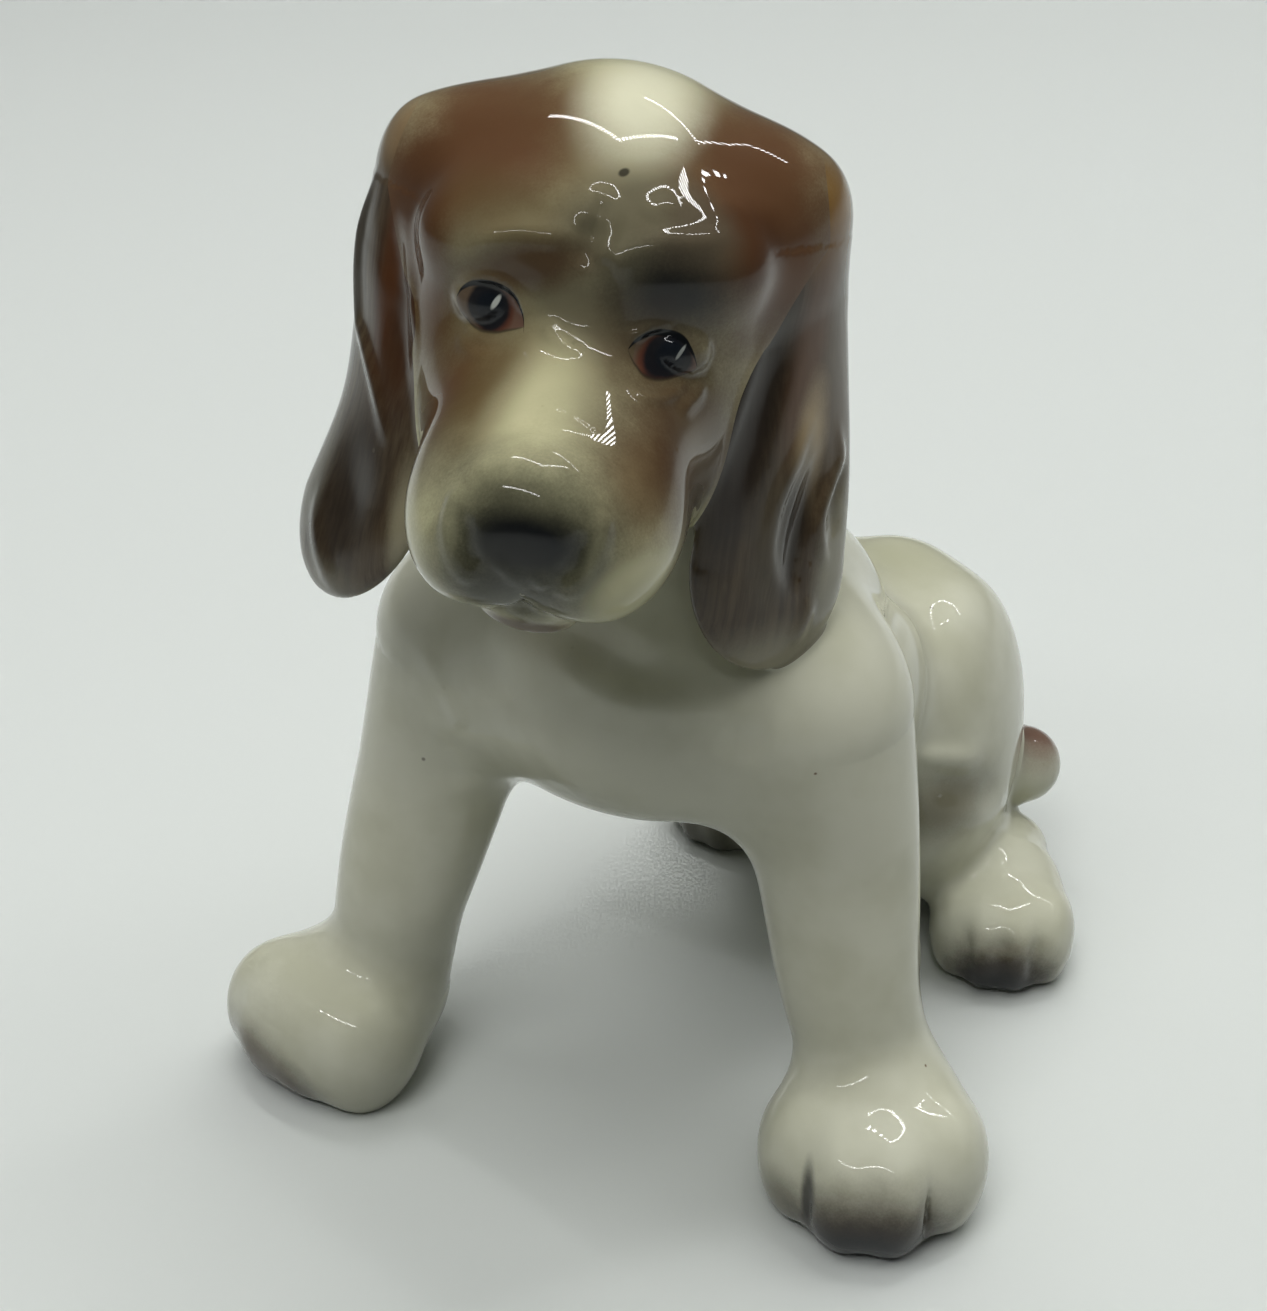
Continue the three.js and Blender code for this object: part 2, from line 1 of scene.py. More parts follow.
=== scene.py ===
"""The glazed porcelain puppy: its clay skin, its airbrushed coat, and the studio round it."""
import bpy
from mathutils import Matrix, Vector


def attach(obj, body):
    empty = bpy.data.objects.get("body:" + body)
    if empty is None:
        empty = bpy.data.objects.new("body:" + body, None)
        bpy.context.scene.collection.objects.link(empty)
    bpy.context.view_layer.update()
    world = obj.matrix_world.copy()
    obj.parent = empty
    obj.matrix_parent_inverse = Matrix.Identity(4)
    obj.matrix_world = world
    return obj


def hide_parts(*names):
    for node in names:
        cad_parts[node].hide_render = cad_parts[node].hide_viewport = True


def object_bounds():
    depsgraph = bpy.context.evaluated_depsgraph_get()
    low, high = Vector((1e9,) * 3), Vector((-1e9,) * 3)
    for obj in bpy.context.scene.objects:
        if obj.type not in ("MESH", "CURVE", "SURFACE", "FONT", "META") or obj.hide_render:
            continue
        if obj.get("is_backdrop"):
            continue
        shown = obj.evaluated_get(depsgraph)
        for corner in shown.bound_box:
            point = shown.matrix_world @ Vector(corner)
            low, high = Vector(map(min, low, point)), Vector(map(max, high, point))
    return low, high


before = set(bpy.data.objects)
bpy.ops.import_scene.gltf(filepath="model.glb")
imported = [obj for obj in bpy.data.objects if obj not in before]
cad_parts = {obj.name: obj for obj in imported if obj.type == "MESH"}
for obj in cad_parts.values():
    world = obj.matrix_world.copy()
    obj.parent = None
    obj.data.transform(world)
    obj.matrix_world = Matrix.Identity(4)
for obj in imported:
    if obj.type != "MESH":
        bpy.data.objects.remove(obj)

from types import SimpleNamespace

import bpy
import numpy as np
from bpy.props import FloatProperty, FloatVectorProperty, PointerProperty
from mathutils import Matrix, Vector

bl_info = {
    "name": "Porcelain puppy figurine",
    "version": (1, 0, 0),
    "blender": (4, 5, 0),
    "location": "View3D > Sidebar > Puppy",
    "description": "Models and paints the castings of a seated porcelain puppy",
    "category": "Object",
}

CAD_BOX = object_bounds()

# From the clay's own origin to the middle of the footprint, in millimetres.
FOOTPRINT = np.array([2.1316, 0.9831, 0.0])
MM = 0.001
# What a mass answers for a place that is far away from it, and how far past its own reach it
# still answers, so that its neighbours can be blended with it.
FAR = 1e3
MARGIN = 12.0
# Sides of the blocks of places that are asked together, in millimetres: near the skin, and anywhere.
FINE_BLOCK, COARSE_BLOCK = 8.0, 24.0
CASTINGS = ("torso", "head", "ear_left", "ear_right", "foreleg_left", "foreleg_right",
            "hind_leg_left", "hind_leg_right", "tail")
# The clay is modelled as body, head, left ear, right ear and tail. Each of these belongs to one
# casting until the legs are cut off the body.
CASTING_OF_MASS = np.array([0, 1, 2, 3, 8])
MASS_OF_CASTING = np.array([0, 1, 2, 3, 0, 0, 0, 0, 4])


# Sizes and colours that a maker would change

def length(name, mm, text):
    return FloatProperty(name=name, description=text, default=mm * MM, min=0.0, unit="LENGTH",
                         precision=4)


def colour(name, rgb, text):
    return FloatVectorProperty(name=name, description=text, default=rgb, min=0.0, max=1.0, size=3,
                               subtype="COLOR")


class PuppyHeadSizes(bpy.types.PropertyGroup):
    """Sizes of the head and the ears"""
    height: length("Head height", 108.5, "Table to the middle of the skull")
    skull_width: length("Skull width", 43.0, "Across the skull")
    skull_depth: length("Skull depth", 46.0, "Stop to the back of the skull")
    skull_tall: length("Skull height", 45.9, "Throat to the crown")
    muzzle_long: length("Muzzle length", 24.5, "Stop to the tip of the nose")
    muzzle_width: length("Muzzle width", 26.0, "Across the upper lips")
    nose_drop: length("Nose drop", 12.5, "Middle of the skull down to the nose")
    eye_spacing: length("Eye spacing", 17.5, "Between the middles of the brows")
    ear_swing: length("Ear reach", 21.5, "Middle of the head out to the middle of an ear")
    ear_scale: length("Ear width", 23.0, "Widest part of an ear")
    ear_thick: length("Ear thickness", 6.0, "Thickness of an ear's flap")


class PuppyBodySizes(bpy.types.PropertyGroup):
    """Sizes of the trunk, the legs and the tail"""
    chest_width: length("Chest width", 53.0, "Across the chest")
    chest_depth: length("Chest depth", 38.0, "Breastbone to the back of the chest")
    chest_tall: length("Chest height", 38.0, "Chest, from below to above")
    neck_width: length("Neck width", 32.0, "Across the neck")
    belly_width: length("Belly width", 42.0, "Across the belly")
    rump_width: length("Rump width", 38.0, "Across the rump")
    rump_tall: length("Rump height", 54.0, "The rump, from seat to loin")
    foreleg_width: length("Foreleg width", 17.0, "Across a foreleg at the wrist")
    paw_width: length("Forepaw width", 28.0, "Across a forepaw")
    paw_long: length("Forepaw length", 26.0, "Heel to toe of a forepaw")
    paw_tall: length("Forepaw height", 19.5, "Table to the top of a forepaw")
    hind_paw_width: length("Hind paw width", 20.0, "Across a hind paw")
    hind_paw_long: length("Hind paw length", 23.0, "Heel to toe of a hind paw")
    hind_paw_tall: length("Hind paw height", 15.0, "Table to the top of a hind paw")
    tail_long: length("Tail length", 13.5, "Root to tip of the tail")
    tail_width: length("Tail width", 12.0, "Across the root of the tail")
    grain: length("Clay grain", 1.0, "Size of the faces that the clay is first cut into")


class PuppyPaint(bpy.types.PropertyGroup):
    """Underglaze colours, before the clear glaze"""
    cream: colour("Cream body", (0.66, 0.665, 0.53), "Bare porcelain under the clear glaze")
    face: colour("Face cream", (0.62, 0.60, 0.36), "Warmer cream of the muzzle")
    blaze: colour("Crown blaze", (0.72, 0.71, 0.52), "Yellow cream down the crown")
    rust: colour("Rust", (0.112, 0.054, 0.024), "Red brown of the patches, sprayed thick")
    amber: colour("Amber", (0.095, 0.038, 0.006), "Orange brown, sprayed thin over the cheeks")
    umber: colour("Dark umber", (0.055, 0.020, 0.006), "Deep brown in the folds")
    bark: colour("Bark", (0.016, 0.010, 0.006), "Near black brown of the ears")
    smoke: colour("Smoke grey", (0.100, 0.090, 0.060), "Thin grey mist over the brow")
    olive: colour("Olive brown", (0.095, 0.065, 0.025), "Mist under the brown")
    moss: colour("Moss tint", (0.40, 0.40, 0.25), "Greenish yellow where the glaze is thick")
    soot: colour("Soot", (0.018, 0.018, 0.011), "Grey halo round the nose")
    black: colour("Black", (0.004, 0.005, 0.006), "Nose, pupils and lids")
    iris: colour("Iris", (0.11, 0.042, 0.025), "Red brown of the eyes and the tail")
    floor: colour("Studio sheet", (0.70, 0.735, 0.705), "Paper under and behind the figurine")


def millimetres(group):
    """The lengths of a property group, in millimetres."""
    return SimpleNamespace(**{k: getattr(group, k) / MM for k in group.__annotations__})


def paints():
    group = bpy.context.scene.puppy_paint
    return SimpleNamespace(**{k: tuple(getattr(group, k)) + (1.0,) for k in group.__annotations__})


# Clay: each mass answers how far a place is from its skin, in millimetres, below 0 inside

class Cloud:
    """Places near each other, with the middle and the radius that hold them."""

    def __init__(self, xyz, mid=None, rad=None):
        self.xyz = xyz
        if mid is None:
            low, high = xyz.min(0), xyz.max(0)
            mid, rad = (low + high) / 2, np.linalg.norm(high - low) / 2
        self.mid, self.rad = mid, rad

    def beyond(self, middle, reach):
        """Whether all the places are further than a reach from a middle."""
        return np.linalg.norm(self.mid - middle) > reach + self.rad


def vec(*v):
    return np.array(v, float)


def mix(a, b, t):
    return a + (b - a) * t


def unit(v):
    return v / np.linalg.norm(v)


def turn_rows(about_x=0.0, about_y=0.0, about_z=0.0):
    x, y, z = np.radians([about_x, about_y, about_z])
    rx = np.array([[1, 0, 0], [0, np.cos(x), -np.sin(x)], [0, np.sin(x), np.cos(x)]])
    ry = np.array([[np.cos(y), 0, np.sin(y)], [0, 1, 0], [-np.sin(y), 0, np.cos(y)]])
    rz = np.array([[np.cos(z), -np.sin(z), 0], [np.sin(z), np.cos(z), 0], [0, 0, 1]])
    return rz @ rx @ ry


def curve(points, steps=5):
    """More points along a smooth curve through a few."""
    p = np.array(points, float)
    if len(p) < 3:
        return p
    ends = np.vstack([2 * p[0] - p[1], p, 2 * p[-1] - p[-2]])
    out = []
    for i in range(len(p) - 1):
        a, b, c, d = ends[i:i + 4]
        for t in np.arange(steps) / steps:
            out.append(0.5 * (2 * b + (c - a) * t + (2 * a - 5 * b + 4 * c - d) * t ** 2
                              + (3 * b - a - 3 * c + d) * t ** 3))
    out.append(p[-1])
    return np.array(out)


def egg_axes(centre, radii, turn):
    return np.array(centre, float), np.array(radii, float), turn_rows(*turn)


def lump(centre, radii, turn=(0, 0, 0)):
    """An egg of clay."""
    centre, radii, rows = egg_axes(centre, radii, turn)
    reach = radii.max() + MARGIN

    def mass(cloud):
        if cloud.beyond(centre, reach):
            return FAR
        q = (cloud.xyz - centre) @ rows / radii
        g = q / radii
        near = np.sqrt(np.einsum("ij,ij->i", q, q)) + 1e-9
        slope = np.sqrt(np.einsum("ij,ij->i", g, g)) + 1e-9
        return near * (near - 1) / slope
    return mass


def limb(start, end, radius_start, radius_end):
    """A straight roll of clay with round ends."""
    start, end = np.array(start, float), np.array(end, float)
    axis = end - start
    square = axis @ axis
    middle = (start + end) / 2
    reach = np.sqrt(square) / 2 + max(radius_start, radius_end) + MARGIN

    def mass(cloud):
        if cloud.beyond(middle, reach):
            return FAR
        d = cloud.xyz - start
        t = np.clip(d @ axis / square, 0, 1)
        d -= t[:, None] * axis
        return np.sqrt(np.einsum("ij,ij->i", d, d)) - (radius_start + (radius_end - radius_start) * t)
    return mass


def column(points, radii):
    """A standing roll of clay whose middle and radius run smoothly with height."""
    table = curve(np.column_stack([np.array(points, float), radii])[::-1], 24)
    level, middle = table[:, 2], (table[0, :3] + table[-1, :3]) / 2
    reach = np.linalg.norm(table[:, :3] - middle, axis=1).max() + max(radii) + MARGIN

    def mass(cloud):
        if cloud.beyond(middle, reach):
            return FAR
        p = cloud.xyz
        z = np.clip(p[:, 2], level[0], level[-1])
        x, y, r = (np.interp(z, level, table[:, c]) for c in (0, 1, 3))
        lean = np.hypot(np.interp(z, level, np.gradient(table[:, 0], level)),
                        np.interp(z, level, np.gradient(table[:, 1], level)))
        flat = np.hypot(p[:, 0] - x, p[:, 1] - y) / np.sqrt(1 + lean ** 2)
        return np.hypot(flat, p[:, 2] - z) - r
    return mass


def smooth(a, b, k):
    """Two masses joined with a fillet of about k."""
    if isinstance(a, float):
        return b
    if isinstance(b, float):
        return a
    overlap = np.maximum(k - np.abs(a - b), 0) / k
    return np.minimum(a, b) - overlap * overlap * k / 4


def blend(k, *masses):
    def mass(cloud):
        f = FAR
        for m in masses:
            f = smooth(f, m(cloud), k)
        return f
    return mass


def stroke(points, width, height, taper=0.35):
    """A ridge (height above 0) or a groove (below 0) along a curve, fading at both ends."""
    p = curve(points)
    start, axis = p[:-1], p[1:] - p[:-1]
    square = np.maximum((axis * axis).sum(1), 1e-9)
    mid = (p.min(0) + p.max(0)) / 2
    rad = np.linalg.norm(p - mid, axis=1).max() + 3 * width

    def relief(cloud):
        if cloud.beyond(mid, rad):
            return 0.0
        d = cloud.xyz[:, None] - start[None]
        t = np.clip(np.einsum("ijk,jk->ij", d, axis) / square, 0, 1)
        d -= t[..., None] * axis[None]
        d2 = np.einsum("ijk,ijk->ij", d, d)
        best = d2.argmin(1)
        rows = np.arange(len(best))
        along = (best + t[rows, best]) / len(start)
        fade = np.clip(np.minimum(along, 1 - along) / taper, 0, 1)
        return height * fade * fade * (3 - 2 * fade) * np.exp(-d2[rows, best] / width ** 2)
    return relief


def dab(centre, radii, height, turn=(0, 0, 0)):
    """A soft mound (height above 0) or a thumb press (below 0)."""
    centre, radii, rows = egg_axes(centre, radii, turn)
    reach = 3 * radii.max()

    def relief(cloud):
        if cloud.beyond(centre, reach):
            return 0.0
        q = (cloud.xyz - centre) @ rows / radii
        return height * np.exp(-np.einsum("ij,ij->i", q, q))
    return relief


def carved(mass, reliefs):
    """A mass with ridges and grooves worked into its skin."""
    def field(cloud):
        f = mass(cloud)
        if isinstance(f, float):
            return f
        for r in reliefs:
            f = f - r(cloud)
        return f
    return field


def for_each(answer, count):
    """An answer for every place, also where a mass gave one number for all."""
    return np.full(count, answer) if isinstance(answer, float) else answer


def value(mass, places):
    return for_each(mass(Cloud(places)), len(places))


# How far beside a place the slope is felt for, and how finely the skin is looked for from the front.
PROBE = 0.05
LANDING_STEP = 0.25


def snap(mass, points):
    """Points moved onto the skin of a mass, along its slope."""
    p = np.array(points, float)
    for _ in range(12):
        f = value(mass, p)
        g = np.stack([(value(mass, p + d) - value(mass, p - d)) / (2 * PROBE)
                      for d in np.eye(3) * PROBE], 1)
        p = p - g * (f / np.maximum((g * g).sum(1), 0.2))[:, None]
    return p


def land(mass, points, start=60.0):
    """Points given as seen from the front, (across, up), set back onto the skin of a mass."""
    out = []
    for across, up in points:
        run = vec(across, -start, up) + np.arange(0, 2 * start, LANDING_STEP)[:, None] * vec(0, 1, 0)
        f = np.concatenate([value(mass, part) for part in np.array_split(run, 24)])
        out.append(run[np.argmax(f < 0)])
    return snap(mass, out)


# Head, in its own axes: x to the dog's left, y back, z up, from the middle of the skull

HEAD_ROWS = turn_rows(-9, 7, 21)
# The middles of the dog's right and left eye, (across, up).
EYES = ((-8.9, 1.9), (9.25, -0.3))


def head_middle(head):
    return vec(-4, -17, head.height)


def stop_and_nose(head):
    stop = vec(0, 3 - head.skull_depth / 2, 0)
    return stop, vec(0, stop[1] - head.muzzle_long, -head.nose_drop)


def head_clay(head):
    """Skull, muzzle and nose pad, and the same with the jaw hung under it."""
    stop, nose = stop_and_nose(head)
    brow, side = head.eye_spacing / 2, head.muzzle_width / 2
    skull = lump((0, 1.5, 1), (head.skull_width / 2, head.skull_depth / 2, head.skull_tall / 2))
    temples = [lump((s * 12.5, 1.5, 10), (9, 12, 9.5)) for s in (-1, 1)]
    brows = [lump((s * brow, stop[1] + 5.5, 7.5), (8, 6, 4.6)) for s in (-1, 1)]
    cheeks = [lump((s * 7.5, -9, -12), (8.5, 12, 12)) for s in (-1, 1)]
    sides = [lump((s * (side - 6.5), stop[1] - 2, -13), (6.5, 12, 8.5)) for s in (-1, 1)]
    bridge = limb((0, stop[1] + 3, -8.5), nose + (0, 9.3, -1.2), 9, 8.4)
    flews = [lump((s * (side - 7), nose[1] + 12.5, -16.6), (6.8, 10.8, 7.4)) for s in (-1, 1)]
    pad = lump(nose + (0, 4.7, 0.5), (6, 4, 5))
    face = blend(7, blend(4, skull, *temples), *brows, *cheeks, *sides, blend(4, bridge, *flews))
    face = blend(4, face, pad)
    jaw = lump((0, nose[1] + 19, -22), (7.5, 12.5, 5))
    lip = lump((-0.4, nose[1] + 12.6, -25.0), (4.4, 3.4, 1.5), (0, 5, 0))
    return face, blend(1.4, face, jaw, lip)


def face_reliefs(face):
    """Sockets, lids, brow ridges with the frown between them, nostril wings and mouth line."""
    def on(*points):
        return land(face, points)
    return [dab(on(eye)[0], (5.4, 4, 4.2), -0.75) for eye in EYES] + [
        # the two brows and the frown that stands up between them
        stroke(on((-12, 7.6), (-9.5, 8.6), (-6.6, 9.6), (-2.7, 9.8), (-0.9, 10.6)), 1.3, 0.6),
        stroke(on((-1.0, 10.2), (-0.4, 12.8), (0.3, 13.6), (1.6, 13.1), (2.1, 11.7), (1.8, 9.1),
                  (2.2, 7.6)), 1.0, 0.45, 0.15),
        stroke(on((2.2, 7.6), (3.4, 8.4), (5.2, 9.8), (7.5, 10.6), (10.8, 11.0), (14.4, 11.7)),
               1.3, 0.45, 0.2),
        stroke(on((0.7, 12.0), (0.4, 9.5), (-0.6, 7.0)), 1.3, -0.5),
        stroke(on((5.0, 12.2), (6.5, 13.4), (8.4, 14.0)), 1.4, 0.22),
        stroke(on((-3.4, 2.4), (-2.5, 1.1), (-1.6, 0.4), (0, -0.2), (2, -0.3)), 1.0, 0.45),
        # lids
        stroke(on((-12.6, 2.0), (-11.6, 3.5), (-10.3, 4.3), (-8.4, 4.6), (-6.7, 4.0), (-5.4, 2.4),
                  (-4.9, 0.4)), 0.8, 0.42, 0.2),
        stroke(on((-12.2, 0.6), (-11.1, -0.6), (-9.8, -1.1), (-8.2, -1.0), (-6.4, -0.4)), 0.8, 0.32),
        stroke(on((5.0, 0.5), (6.2, 1.5), (7.6, 2.2), (9.0, 2.3), (10.5, 2.0), (11.8, 0.8),
                  (12.5, -1.2)), 0.8, 0.42, 0.2),
        stroke(on((6.0, -2.0), (7.6, -3.2), (9.4, -3.6), (11.2, -3.2), (12.3, -2.0)), 0.8, 0.32),
        # loose skin under the eyes
        stroke(on((-12.4, -1.4), (-11.2, -2.3), (-9.0, -2.4), (-6.3, -1.4)), 0.9, 0.3),
        stroke(on((11.1, -5.0), (12.4, -4.4), (13.4, -2.8)), 0.9, 0.35),
        # wings of the nostrils, the nostrils, and the line below the nose
        stroke(on((-6.6, -9.8), (-7.3, -11.6), (-7.4, -13.8), (-6.7, -16.0), (-5.4, -17.8), (-3.9, -18.6)),
               1.1, 0.45, 0.2),
        stroke(on((6.2, -9.8), (6.7, -11.6), (6.6, -13.8), (5.8, -16.3), (4.4, -17.8), (2.6, -18.1)),
               1.1, 0.45, 0.2),
        stroke(on((-5.6, -11.2), (-5.7, -13.6), (-5.0, -15.8), (-3.8, -17.2)), 1.0, -0.45),
        stroke(on((5.0, -11.2), (5.0, -13.6), (4.2, -15.8), (3.0, -16.6)), 1.0, -0.45),
        stroke(on((-3.3, -15.4), (-2.0, -16.1), (-1.0, -17.1), (-0.8, -18.7)), 0.8, 0.25),
        stroke(on((1.0, -16.0), (1.6, -17.2), (2.6, -18.1)), 0.8, 0.25),
        stroke(on((0.2, -19.2), (0.0, -22), (-0.4, -25)), 0.9, -0.35),
    ]


# Ears: level, middle across, middle back, half width, turn, half thickness at each station,
# drawn for these sizes of reach, width and thickness

EAR_DRAWN = SimpleNamespace(reach=21.5, width=23, thick=6)
EAR_LEFT = ((9.5, 20.2, 1.5, 6.0, 70, 3.6), (4.5, 21.2, -1.2, 7.8, 64, 3.4),
            (0.0, 21.2, -2.6, 9.2, 60, 3.1), (-7.0, 21.4, -4.6, 10.8, 56, 2.9),
            (-15.0, 21.9, -6.0, 11.6, 52, 2.9), (-25.5, 22.2, -7.2, 11.4, 46, 3.1))
EAR_RIGHT = ((9.5, 21.0, 1.5, 6.0, 70, 3.6), (4.5, 22.3, -1.2, 7.8, 64, 3.4),
             (0.0, 22.2, -2.8, 9.0, 60, 3.1), (-7.0, 20.8, -4.6, 10.2, 56, 2.9),
             (-15.0, 20.5, -6.2, 10.7, 52, 2.9), (-24.5, 22.3, -7.2, 11.2, 46, 3.1))
# How much the hem rises outwards, and how far an ear reaches from its middle.
EAR_HEM = 0.25
EAR_FAR = 34


def ear_clay(head, s, stations):
    """A hanging flap, thin across and rounded at its hem."""
    table = np.array(stations, float)
    table[:, 1] += head.ear_swing - EAR_DRAWN.reach
    table[:, 3] *= head.ear_scale / EAR_DRAWN.width
    table[:, 5] *= head.ear_thick / EAR_DRAWN.thick
    fine = curve(table[::-1], 24)
    low, high = table[-1, 0], table[0, 0]
    run = (fine[2] - fine[0]) / (fine[2, 0] - fine[0, 0])
    middle = vec(s * 22, -4, -10)

    def mass(cloud):
        if cloud.beyond(middle, EAR_FAR + MARGIN):
            return FAR
        p = cloud.xyz
        level = p[:, 2] + EAR_HEM * (s * p[:, 0] - table[-1, 1]) * np.clip((6 - p[:, 2]) / 20, 0, 1)
        lv = np.clip(level, low, high)
        mx, my, half, turn, thick = (np.interp(lv, fine[:, 0], fine[:, c]) for c in range(1, 6))
        under = np.minimum(level - low, 0)
        mx, my = mx + run[1] * under, my + run[2] * under
        turn = np.radians(turn)
        dx, dy = s * p[:, 0] - mx, p[:, 1] - my
        across = dx * np.cos(turn) + dy * np.sin(turn)
        through = dx * np.sin(turn) - dy * np.cos(turn)
        past = np.where(level < low, level - low, np.maximum(level - high, 0))
        near = np.sqrt((across / half) ** 2 + (through / thick) ** 2 + (past / half) ** 2)
        slope = np.sqrt((across / half ** 2) ** 2 + (through / thick ** 2) ** 2 + (past / half ** 2) ** 2)
        return near * (near - 1) / (slope + 1e-9)
    return mass


def ear_reliefs(ear_left, ear_right):
    """Ridges and furrows combed down the ears."""
    def left(width, height, *points):
        return stroke(snap(ear_left, points), width, height)

    def right(width, height, *points):
        return stroke(snap(ear_right, points), width, height)
    on_left = [
        left(1.1, 0.7, (24.8, -4.5, -7), (23.5, -7.9, -12), (22, -10.6, -17), (21.8, -11.5, -22),
             (22.7, -11, -25.3), (24.4, -9.2, -28.8)),
        left(1.6, -1.0, (26.2, -3.2, -10.6), (25.7, -5.7, -15.5), (24.9, -7.8, -20.6), (25.1, -8.4, -25),
             (26.7, -6.7, -28.8)),
        left(1.0, 0.7, (26.7, -1.5, -8.9), (28, -1, -14.4), (26.9, -4.7, -19), (27.3, -5, -22.6),
             (28.9, -3.5, -26.6)),
        left(1.2, -0.8, (28.3, 0.5, -14), (28.5, -2.5, -19), (29, -2, -23)),
        left(1.0, 0.5, (20, -9.5, 6), (18, -12.5, 0), (16.8, -15, -7), (15.8, -17, -12),
             (15.2, -17.5, -18)),
        left(2.2, -0.8, (20.5, -8, 3), (19.5, -10.5, -4), (18.7, -13, -11), (18, -14, -19)),
        left(1.2, 0.5, (27.1, -6.2, -27.8), (26.5, -6.6, -31.3), (25.1, -7.2, -34.2)),
    ]
    on_right = [
        right(1.0, 0.8, (-18, -6.9, 14.8), (-20.8, -5.8, 12.7), (-23.6, -2.6, 10.3), (-26, -1.5, 5),
              (-26, -2, -1), (-25.4, -2.5, -6.4), (-24.4, -4.7, -8.1), (-22.3, -8.6, -11.7),
              (-20.3, -11.7, -15.4), (-18.9, -13.3, -17.1)),
        right(2.2, -1.5, (-19.6, -6.2, 13.8), (-20.8, -8.5, 6.6), (-20.6, -10, 1), (-20.3, -10.6, -3.9),
              (-19.6, -12, -9), (-18.8, -13, -13.5)),
        right(1.1, 0.6, (-17, -9.1, 13.8), (-16.5, -13, 7.6), (-16.3, -15.5, 1.4), (-15.5, -17.5, -8.5)),
        right(1.4, 0.4, (-26.5, -6, -22), (-27.5, -6, -28), (-25, -9, -33), (-21, -11, -34)),
    ]
    on_right.append(dab(snap(ear_right, [(-23.9, -10, -24.4)])[0], (4, 4, 5), -0.8))
    return on_left, on_right


# Trunk, legs and tail, in the clay's own axes: +x the dog's left, -y ahead, z up from the table

CHEST = vec(-3, -11, 59.7)
RUMP = vec(7.6, 39, 25)
HINGES = SimpleNamespace(
    wrist_left=vec(27.5, -16.5, 24), heel_left=vec(30.9, -15, 0), turn_left=20,
    wrist_right=vec(-31.3, -24, 24), heel_right=vec(-34.6, -24.2, 0), turn_right=-22,
    hip_left=RUMP + (12, -4, 3), hind_heel_left=vec(30, 35, 0), hind_turn_left=18,
    hip_right=RUMP + (-13, 0, 3), hind_heel_right=vec(-13, 48.6, 0), hind_turn_right=-8,
    tail=RUMP + (8.5, 14, -11.5), tail_way=unit(vec(10.3, -5, 4.5)))
# How far along a paw each toe lies, from the dog's right to its left, and how deep each of the
# three cuts between them is.
FOREPAW_LEFT = ((0.46, 0.66, 0.66, 0.46), (1.1, 0, 1.1))
FOREPAW_RIGHT = ((0.50, 0.53, 0.46, 0.38), (0, 0, 0))
HIND_PAW = ((0.47, 0.58, 0.58, 0.47), (0.5, 0.5, 0.5))
# Where an elbow lies between shoulder and wrist, and how far apart toes are, as a share of the paw.
ELBOW = 0.48
TOE_PITCH = 0.215


def trunk_clay(body, head):
    """Ribcage, belly, rump, withers and neck."""
    half = body.chest_width / 2
    depth, tall = body.chest_depth / 2, body.chest_tall / 2
    belly = mix(CHEST, RUMP, 0.47) + (0, 0, 3)
    rump = body.rump_width / 2
    return blend(10,
                 lump(CHEST, (half, depth, tall)),
                 lump(belly, (body.belly_width / 2, 26, 19), (-33, 0, -9)),
                 lump(RUMP, (rump, rump - 0.5, body.rump_tall / 2), (-16, 0, -8)),
                 lump(CHEST + (4, 15, 3), (17.5, 15, 12)),
                 limb(CHEST + (0, 3, 6), head_middle(head) + (0, 4, -12), body.neck_width / 2 + 2,
                      body.neck_width / 2 - 2))


def paw_places(heel, heading):
    """A function from (ahead, aside, up) from a heel to a place."""
    h = np.radians(heading)
    way = vec(np.sin(h), -np.cos(h), 0)
    across = vec(-way[1], way[0], 0)
    return lambda ahead, aside, up: heel + way * ahead + across * aside + vec(0, 0, up)


def paw_clay(heel, heading, wide, long, tall, toes):
    """A pad with four toes, and the cuts between them."""
    reach, groove = toes
    place = paw_places(heel, heading)
    turn = (0, 0, heading)
    sides = (-1.5, -0.5, 0.5, 1.5)
    pad = lump(place(long * 0.3, 0, tall * 0.44), (wide * 0.45, long * 0.43, tall * 0.5), turn)
    ends = [lump(place(long * far, n * wide * TOE_PITCH, tall * 0.36),
                 (wide * 0.15, long * 0.22, tall * 0.4), turn) for n, far in zip(sides, reach)]
    cuts = []
    for k, depth in enumerate(groove):
        if depth:
            ahead = long * (min(reach[k], reach[k + 1]) + 0.27)
            aside = (k - 1) * wide * TOE_PITCH
            cuts.append(stroke([place(ahead - long * 0.16, aside, tall * 0.74),
                                place(ahead, aside, tall * 0.45),
                                place(ahead - 0.5, aside, tall * 0.1)], 1.2, -depth))
    return blend(wide / 6, pad, *ends), cuts


def shoulder_at(body, s):
    return CHEST + (s * (body.chest_width / 2 - 5.5), -1, -0.5)


def foreleg_clay(body, s, wrist, heel, heading, toes):
    """A foreleg with its paw and the three locks of the fringe behind it."""
    shoulder = shoulder_at(body, s)
    elbow = mix(shoulder, wrist, ELBOW) + (s, 0.6, 0)
    wide = body.foreleg_width / 2
    leg = column([shoulder, elbow, wrist, heel + (0, 0, 9.75)], [12.5, wide + 1.2, wide - 0.2, wide - 0.6])
    locks = [lump(mix(elbow, wrist + (0, 0, -3), t) + (s * 4.0, wide * 0.8, 0), (2.0, 2.6, 6.5),
                  (0, 0, -s * 25)) for t in (0.25, 0.58, 0.9)]
    paw, cuts = paw_clay(heel, heading, body.paw_width, body.paw_long, body.paw_tall, toes)
    return blend(2.5, blend(5, leg, paw), *locks), cuts


